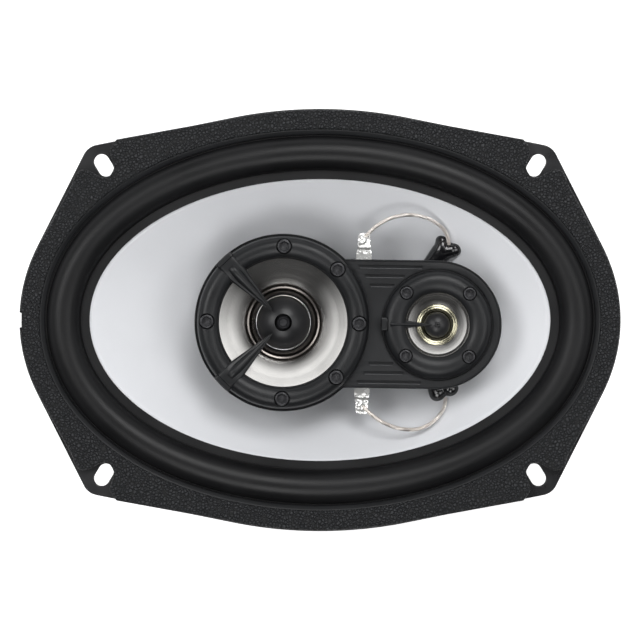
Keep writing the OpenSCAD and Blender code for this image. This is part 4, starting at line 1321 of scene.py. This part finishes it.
class SPEAKER_OT_lugs(bpy.types.Operator):
    """Make the solder lugs: tabs with one fold and dents as a product of sines, and their solder"""

    bl_idname = "speaker.lugs"
    bl_label = "Solder Lugs"

    def execute(self, context):
        thickness, lug_x = 0.75, 16.2
        lugs = ((1, "solder_lug_upper", LEAD_UPPER), (-1, "solder_lug_lower", LEAD_LOWER))
        for side, name, lead in lugs:
            rows = np.linspace(22.5, 35.4, 40)[:, None]
            cols = np.linspace(-3, 3, 22)[None, :]
            fold = 0.95 * smoothstep((rows - 29.0) / 1.0) * smoothstep((34.6 - rows) / 1.2)
            dents = 0.27 * np.sin(rows * 1.5 + cols * 0.8) * np.cos(cols * 1.1 - rows * 0.7)
            round_end = 3 - np.sqrt(np.clip(9 - cols**2, 0, 9))
            y = side * (rows - round_end * 0.35 * smoothstep((rows - 30) / 5.4))
            x = lug_x + cols * (1 - 0.2 * smoothstep((rows - 27.5) / 2.5))
            z = 0.6 + fold + dents * smoothstep((rows - 27) / 2)
            top = np.stack([x, y, z], -1)
            down = np.array([0, 0, -thickness])
            rim = np.concatenate([top[0], top[1:, -1], top[-1, -2::-1], top[-2:0:-1, 0]])
            tab = Shape().grid(top, wrap_cols=False).grid(top + down, wrap_cols=False)
            tab.grid(np.stack([rim, rim + down])).on_pod()
            make_piece(tab, name + "_tab", bright_tin(), FRAME_BODY, [name], sharp=50)
            x, y = lead[0][:2]
            lumps = [
                [(x - 1.6, y - 1.2 * side, 1.2, 1.0), (x - 0.2, y - 0.4 * side, 1.5, 1.25),
                 (x + 1.0, y + 0.9 * side, 1.4, 0.8)],
                [(x - 1.2, y + 1.4 * side, 1.3, 0.9), (x + 0.1, y + 0.2 * side, 1.5, 1.1)],
            ]
            blob(name + "_solder", lumps, FRAME_BODY, bright_tin(), voxel=0.22)
        return {"FINISHED"}


class SPEAKER_OT_pod(bpy.types.Operator):
    """Make the pod's upper moulding: wall with a raised rim, and a face with openings and grooves, each
    groove with a lighter bead along its lower side as a painted highlight
    """

    bl_idname = "speaker.pod"
    bl_label = "Pod"

    def execute(self, context):
        rows = [(0.0, 0.25), (0.0, 7.9), (0.12, 8.25), (0.4, 8.4), (0.68, 8.25), (0.8, 7.9), (0.8, 7.0),
                (1.4, 6.9), (1.4, 0.25)]
        wall_rows = [np.insert(pod_loop(inset), 2, z, axis=1) for inset, z in rows]
        side = Shape().grid(np.stack(wall_rows), wrap_rows=True).on_pod()
        make_piece(side, "pod_wall", pod_plastic(), FRAME_BODY, ["pod_housing"])
        openings = [circle(MID_X, 0, 27.5), circle(TWEETER_X, 0, 21.7)]
        face = Shape().slab([pod_loop(0.7)] + openings, 6.8, FACE_Z, 0.15).on_pod()
        piece = make_piece(face, "pod_face", pod_plastic(), FRAME_BODY, ["pod_housing"])
        cutters, beads = [], Shape()
        grooves = ((22.4, 14.6, 38.6), (18.8, 17.0, 31.7), (15.2, 19.0, 27.7))
        for y, start, end in grooves + tuple((-y, start, end) for y, start, end in grooves):
            groove = np.concatenate([arc(end, y, 0.5, -90, 90, 12), arc(start, y, 0.5, 90, 270, 12)])
            shape = Shape().slab([groove], FACE_Z - 0.95, 9.5, 0.01, 1)
            cutters.append(cutter_from(shape.on_pod()))
            # A bead along the lower side of each groove, in lighter plastic as a painted highlight
            beads.tube([(start, y - 0.8, FACE_Z), (end, y - 0.8, FACE_Z)], 0.24, 10)
        carve(piece, cutters)
        beads.on_pod()
        make_piece(beads, "pod_groove_highlight_beads", bead_painted_highlight_plastic(), FRAME_BODY, weld=False)
        seat = soften([(14, 6.4), (22.2, 6.4), (22.2, 7.38), (14, 7.38)], 0.1)
        seat = Shape().lathe(seat, 128, (TWEETER_X, 0)).on_pod()
        make_piece(seat, "tweeter_seat", pod_plastic(), FRAME_BODY, ["pod_housing"])
        return {"FINISHED"}


def bezel(name, centre, profile, screws, fins, stands_for):
    """A lathe bezel with screw pockets cut into its crown, and fins added to it."""
    ring = Shape().lathe(profile, 192, (centre, 0)).on_pod()
    piece = make_piece(ring, name + "_ring", bezel_plastic(), FRAME_BODY, [stands_for])
    circle_r, pocket_r, floor_z, angles = screws
    pocket = [(0.001, floor_z), (pocket_r, floor_z), (pocket_r, 18), (0.001, 18)]
    cutters = [
        cutter_from(Shape().lathe(pocket, 48, place).on_pod()) for place in around(centre, circle_r, angles)
    ]
    carve(piece, cutters)
    shape = Shape()
    for angle, sections, power in fins:
        add_fin(shape, centre, angle, sections, power)
    shape.on_pod()
    make_piece(shape, name + "_fins", bezel_plastic(), FRAME_BODY, [stands_for], sharp=50)


class SPEAKER_OT_midrange(bpy.types.Operator):
    """Make the midrange: its bezel with fins, mirror horn, soft surround and phase plug"""

    bl_idname = "speaker.midrange"
    bl_label = "Midrange"

    def execute(self, context):
        top = crown(25.3, 33.4, 9.0, 14.0, 11.4)
        profile = np.concatenate([[(33.4, 8.02)], top, [(25.3, 10.4), (27.4, 10.3), (27.4, 8.02)]])
        block = [(34.0, 3.6, 9.0, 14.4), (33.8, 3.9, 8.6, 14.8), (32.3, 3.9, 8.6, 14.8),
                 (32.0, 3.6, 9.0, 14.4)]
        wedge = [
            (32.2, 3.9, 9.0, 14.25), (29.0, 3.9, 10.0, 14.3), (26.5, 3.85, 10.1, 13.9),
            (24.5, 3.6, 10.1, 13.1), (16.0, 2.1, 8.8, 10.9), (7.2, 0.55, 8.7, 9.3), (6.3, 0.25, 8.9, 9.2),
        ]
        spike = [
            (29.3, 1.9, 11.4, 14.7), (29.2, 2.1, 11.2, 14.8), (26.5, 2.1, 11.0, 14.8),
            (24.5, 2.0, 10.7, 14.5), (16.0, 1.3, 9.4, 12.6), (6.9, 0.42, 8.8, 9.8), (6.2, 0.2, 9.0, 9.5),
        ]
        fins = [(angle, sections, power) for angle in (134, 226)
                for sections, power in ((block, 9), (wedge, 5), (spike, 2))]
        bezel("mid_bezel", MID_X, profile, (29.5, 3.1, 11.3, MID_SCREWS), fins, "mid_bezel")
        horn = [(24.9, 9.0), (23.2, 7.5), (21.4, 5.95), (19.7, 4.6), (18.1, 3.4), (16.6, 2.4), (15.3, 1.6)]
        # The neck is a darker metal than the horn: painted shade in the horn's throat
        neck = [(15.3, 1.6), (14.8, 1.3), (14.4, 0.4), (13.4, 0.1), (13.1, -0.3), (12.6, -1.1), (11.3, -1.5)]
        for name, line, material in (("horn", horn, horn_chrome()), ("neck", neck, neck_shade_metal())):
            line = soften(line, 0.9, 5, closed=False)
            shell = Shape().lathe(np.concatenate([line, line[::-1] - [0, 0.45]]), 192, (MID_X, 0)).on_pod()
            make_piece(shell, "mid_" + name, material, MID_BODY, ["mid_cone"])
        q = np.linspace(math.pi, 0, 17)
        roll = np.stack([26.0 + 0.95 * np.cos(q), 8.35 + 0.85 * np.sin(q)], -1)
        roll = np.concatenate([[(24.75, 8.5)], roll, [(27.2, 8.25)]])
        soft = Shape().lathe(wall(roll, 0.22), 160, (MID_X, 0)).on_pod()
        piece = make_piece(soft, "mid_roll", mid_rubber(), None, ["mid_surround"])
        centre = np.array([MID_X * math.cos(POD_TURN), MID_X * math.sin(POD_TURN)]) + POD_SHIFT
        horn_edge, frame_edge = 25.05, 26.9

        def share(points):
            """1 on the horn's edge, easing to 0 at the frame."""
            reach = np.linalg.norm(points[:, :2] - centre, axis=1)
            return 1 - smoothstep((reach - horn_edge) / (frame_edge - horn_edge))

        ends = [((centre[0] + edge) * MM, centre[1] * MM, 0.008) for edge in (frame_edge, horn_edge)]
        blend_by(piece, MID_BODY, *ends, share)
        q = np.radians(np.linspace(0, 71, 28))
        dome = np.stack([10.5 * np.cos(q), 1.4 + 7.2 * np.sin(q)], -1)
        foot, hole = [(0.001, -3), (9.6, -3), (9.6, 0.6), (10.3, 0.9)], [(3.3, 8.0), (3.3, 2.2), (0.001, 2.2)]
        plug = np.concatenate([foot, dome, hole])
        shape = Shape().lathe(plug, 128, (MID_X, 0)).on_pod()
        make_piece(shape, "phase_plug", plug_plastic(), FRAME_BODY, ["mid_phase_plug"])
        q = np.linspace(0, TAU, 17)[:-1]
        rim = Shape().lathe(np.stack([10.5 + 0.2 * np.cos(q), 1.3 + 0.2 * np.sin(q)], -1), 128, (MID_X, 0))
        rim.on_pod()
        make_piece(rim, "phase_plug_rim", zinc(), FRAME_BODY)
        return {"FINISHED"}


class SPEAKER_OT_tweeter(bpy.types.Operator):
    """Make the tweeter: its bezel with one fin and a bullet, its stepped horn and its film dome"""

    bl_idname = "speaker.tweeter"
    bl_label = "Tweeter"

    def execute(self, context):
        top = crown(12.4, 21.2, 8.2, 12.5, 9.9)
        profile = np.concatenate([[(21.2, 7.42)], top, [(12.4, 9.5), (13.9, 9.4), (13.9, 7.42)]])
        block = [(21.7, 2.4, 8.4, 12.8), (21.6, 2.6, 8.0, 12.95), (19.8, 2.6, 8.0, 12.95),
                 (19.7, 2.4, 8.4, 12.8)]
        wedge = [
            (19.8, 2.4, 8.4, 11.9), (17.5, 2.2, 8.9, 11.8), (15.0, 1.9, 9.0, 11.4), (12.8, 1.55, 9.0, 10.8),
            (6.0, 0.66, 8.4, 9.5), (2.6, 0.3, 8.4, 9.1),
        ]
        spike = [
            (18.4, 0.95, 10.6, 13.0), (18.3, 1.05, 10.4, 13.2), (15.0, 1.0, 10.0, 12.5),
            (12.8, 0.85, 9.7, 11.8), (6.0, 0.45, 8.7, 10.0), (2.4, 0.22, 8.7, 9.3),
        ]
        q = np.radians(np.linspace(0, 74, 24))
        dome = np.stack([4.95 * np.cos(q), 5.9 + 3.4 * np.sin(q)], -1)
        bezel("tweeter_bezel", TWEETER_X, profile, (17.3, 2.75, 10.1, TWEETER_SCREWS),
              [(180, block, 9), (180, wedge, 5), (180, spike, 2)], "tweeter_bezel")
        foot = [(0.001, 4.9), (4.75, 4.9), (4.95, 5.1)]
        tip = [(1.0, 9.3), (0.8, 9.75), (0.45, 9.8), (0.4, 9.2), (0.001, 9.2)]
        bullet = np.concatenate([foot, dome, tip])
        shape = Shape().lathe(bullet, 96, (TWEETER_X, 0)).on_pod()
        make_piece(shape, "tweeter_bullet", plug_plastic(), FRAME_BODY, ["tweeter_bezel"])
        horn = [(13.8, 9.2), (12.9, 9.15), (12.3, 8.6), (11.6, 7.7), (10.4, 6.8), (9.2, 6.0), (8.1, 5.3)]
        throat = [(8.2, 5.35), (7.8, 5.0), (7.3, 5.3), (6.9, 4.8), (6.5, 5.0), (6.1, 4.5), (5.6, 4.3)]
        for name, line, material in (("shell", horn, horn_chrome()), ("throat", throat, horn_gold())):
            line = soften(line, 0.3, 5, closed=False)
            shell = Shape().lathe(wall(line, 0.3), 160, (TWEETER_X, 0)).on_pod()
            make_piece(shell, "tweeter_horn_" + name, material, FRAME_BODY, ["tweeter_horn"])
        film = [(0.05, 4.0), (2, 3.9), (4, 3.5), (5.5, 2.7), (5.9, 2.4), (6.3, 2.9), (6.9, 3.3), (7.5, 2.9),
                (8, 2.5)]
        curve = through(film, 6)
        lined = np.concatenate([curve, curve[::-1] - [0, 0.12]])
        disc = Shape().lathe(lined, 128, (TWEETER_X, 0)).on_pod()
        stands_for = ["tweeter_diaphragm"]
        make_piece(disc, "tweeter_film_dome", dome_film(), TWEETER_BODY, stands_for)
        return {"FINISHED"}


class SPEAKER_OT_screws(bpy.types.Operator):
    """Make the cap screws of both bezels and the one in the phase plug, with hexagon sockets"""

    bl_idname = "speaker.screws"
    bl_label = "Cap Screws"

    def execute(self, context):
        groups = (
            ("mid_bezel_screws", around(MID_X, 29.5, MID_SCREWS), 11.32, 2.65, 2.75),
            ("tweeter_bezel_screws", around(TWEETER_X, 17.3, TWEETER_SCREWS), 10.12, 2.4, 2.45),
            ("mid_plug_screw", [(MID_X, 0)], 2.22, 2.7, 2.6),
        )
        for name, places, z, r, h in groups:
            shape = Shape()
            for x, y in places:
                add_screw(shape, x, y, z, r, h)
            shape.on_pod()
            look = screw_oxide()
            make_piece(shape, name + "_heads", look, FRAME_BODY, [name], sharp=35)
        return {"FINISHED"}


class SPEAKER_OT_frame_finishes(bpy.types.Operator):
    """Give each frame part that is shown as it is its own material"""

    bl_idname = "speaker.frame_finishes"
    bl_label = "Frame Finishes"

    def execute(self, context):
        looks = {
            pod_plastic: ["pod_base", "spacer_sleeve"],
            zinc: ["plate_rivets", "post_tube", "post_washer", "post_nut", "mid_top_plate", "mid_yoke",
                   "tweeter_pole_cap", "tweeter_yoke"],
            bright_tin: ["terminal_rivets"],
            paint: ["mid_frame"],
            ferrite: ["mid_magnet"],
            nickel: ["tweeter_magnet"],
            former_film: ["voice_coil_former"],
            copper_wire: ["voice_coil_winding", "tweeter_voice_coil"],
            screw_oxide: ["pod_screws", "mid_voice_coil"],
            capacitor_sleeve: ["mid_capacitor", "tweeter_capacitor"],
        }
        for look, names in looks.items():
            for name in names:
                self.dress(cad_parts[name], look())
        red = insulation("Red Insulation", (0.42, 0.015, 0.015))
        black = insulation("Black Insulation", (0.014, 0.014, 0.015))
        self.dress(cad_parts["lead_wire_positive"], red)
        self.dress(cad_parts["lead_wire_negative"], black)
        return {"FINISHED"}

    def dress(self, node, material):
        """Puts the material in every slot that the node has."""
        for place in node.material_slots:
            place.material = material
        if not node.material_slots:
            raise RuntimeError(node.name + " has no material slot")


class SPEAKER_PT_parts(bpy.types.Panel):
    """The speaker's settings and its pieces"""

    bl_idname = "SPEAKER_PT_parts"
    bl_label = "Speaker"
    bl_space_type = "VIEW_3D"
    bl_region_type = "UI"
    bl_category = "Speaker"

    def draw(self, context):
        for group in (context.scene.speaker_shape, context.scene.speaker_finish):
            for name in type(group).__annotations__:
                self.layout.prop(group, name)
        for operator in OPERATORS:
            self.layout.operator(operator.bl_idname)


OPERATORS = (
    SPEAKER_OT_stage, SPEAKER_OT_leads, SPEAKER_OT_basket, SPEAKER_OT_gasket, SPEAKER_OT_surround,
    SPEAKER_OT_cone, SPEAKER_OT_spider, SPEAKER_OT_motor, SPEAKER_OT_terminals, SPEAKER_OT_lugs,
    SPEAKER_OT_pod, SPEAKER_OT_midrange, SPEAKER_OT_tweeter, SPEAKER_OT_screws, SPEAKER_OT_frame_finishes,
)
CLASSES = (SpeakerShape, SpeakerFinish) + OPERATORS + (SPEAKER_PT_parts,)


def register():
    for one in CLASSES:
        bpy.utils.register_class(one)
    bpy.types.Scene.speaker_shape = bpy.props.PointerProperty(type=SpeakerShape)
    bpy.types.Scene.speaker_finish = bpy.props.PointerProperty(type=SpeakerFinish)


def unregister():
    del bpy.types.Scene.speaker_finish
    del bpy.types.Scene.speaker_shape
    for one in reversed(CLASSES):
        bpy.utils.unregister_class(one)


def main():
    register()
    for operator in OPERATORS:
        getattr(bpy.ops.speaker, operator.bl_idname.split(".")[1])()
    bpy.context.view_layer.update()


if __name__ == "__main__":
    main()
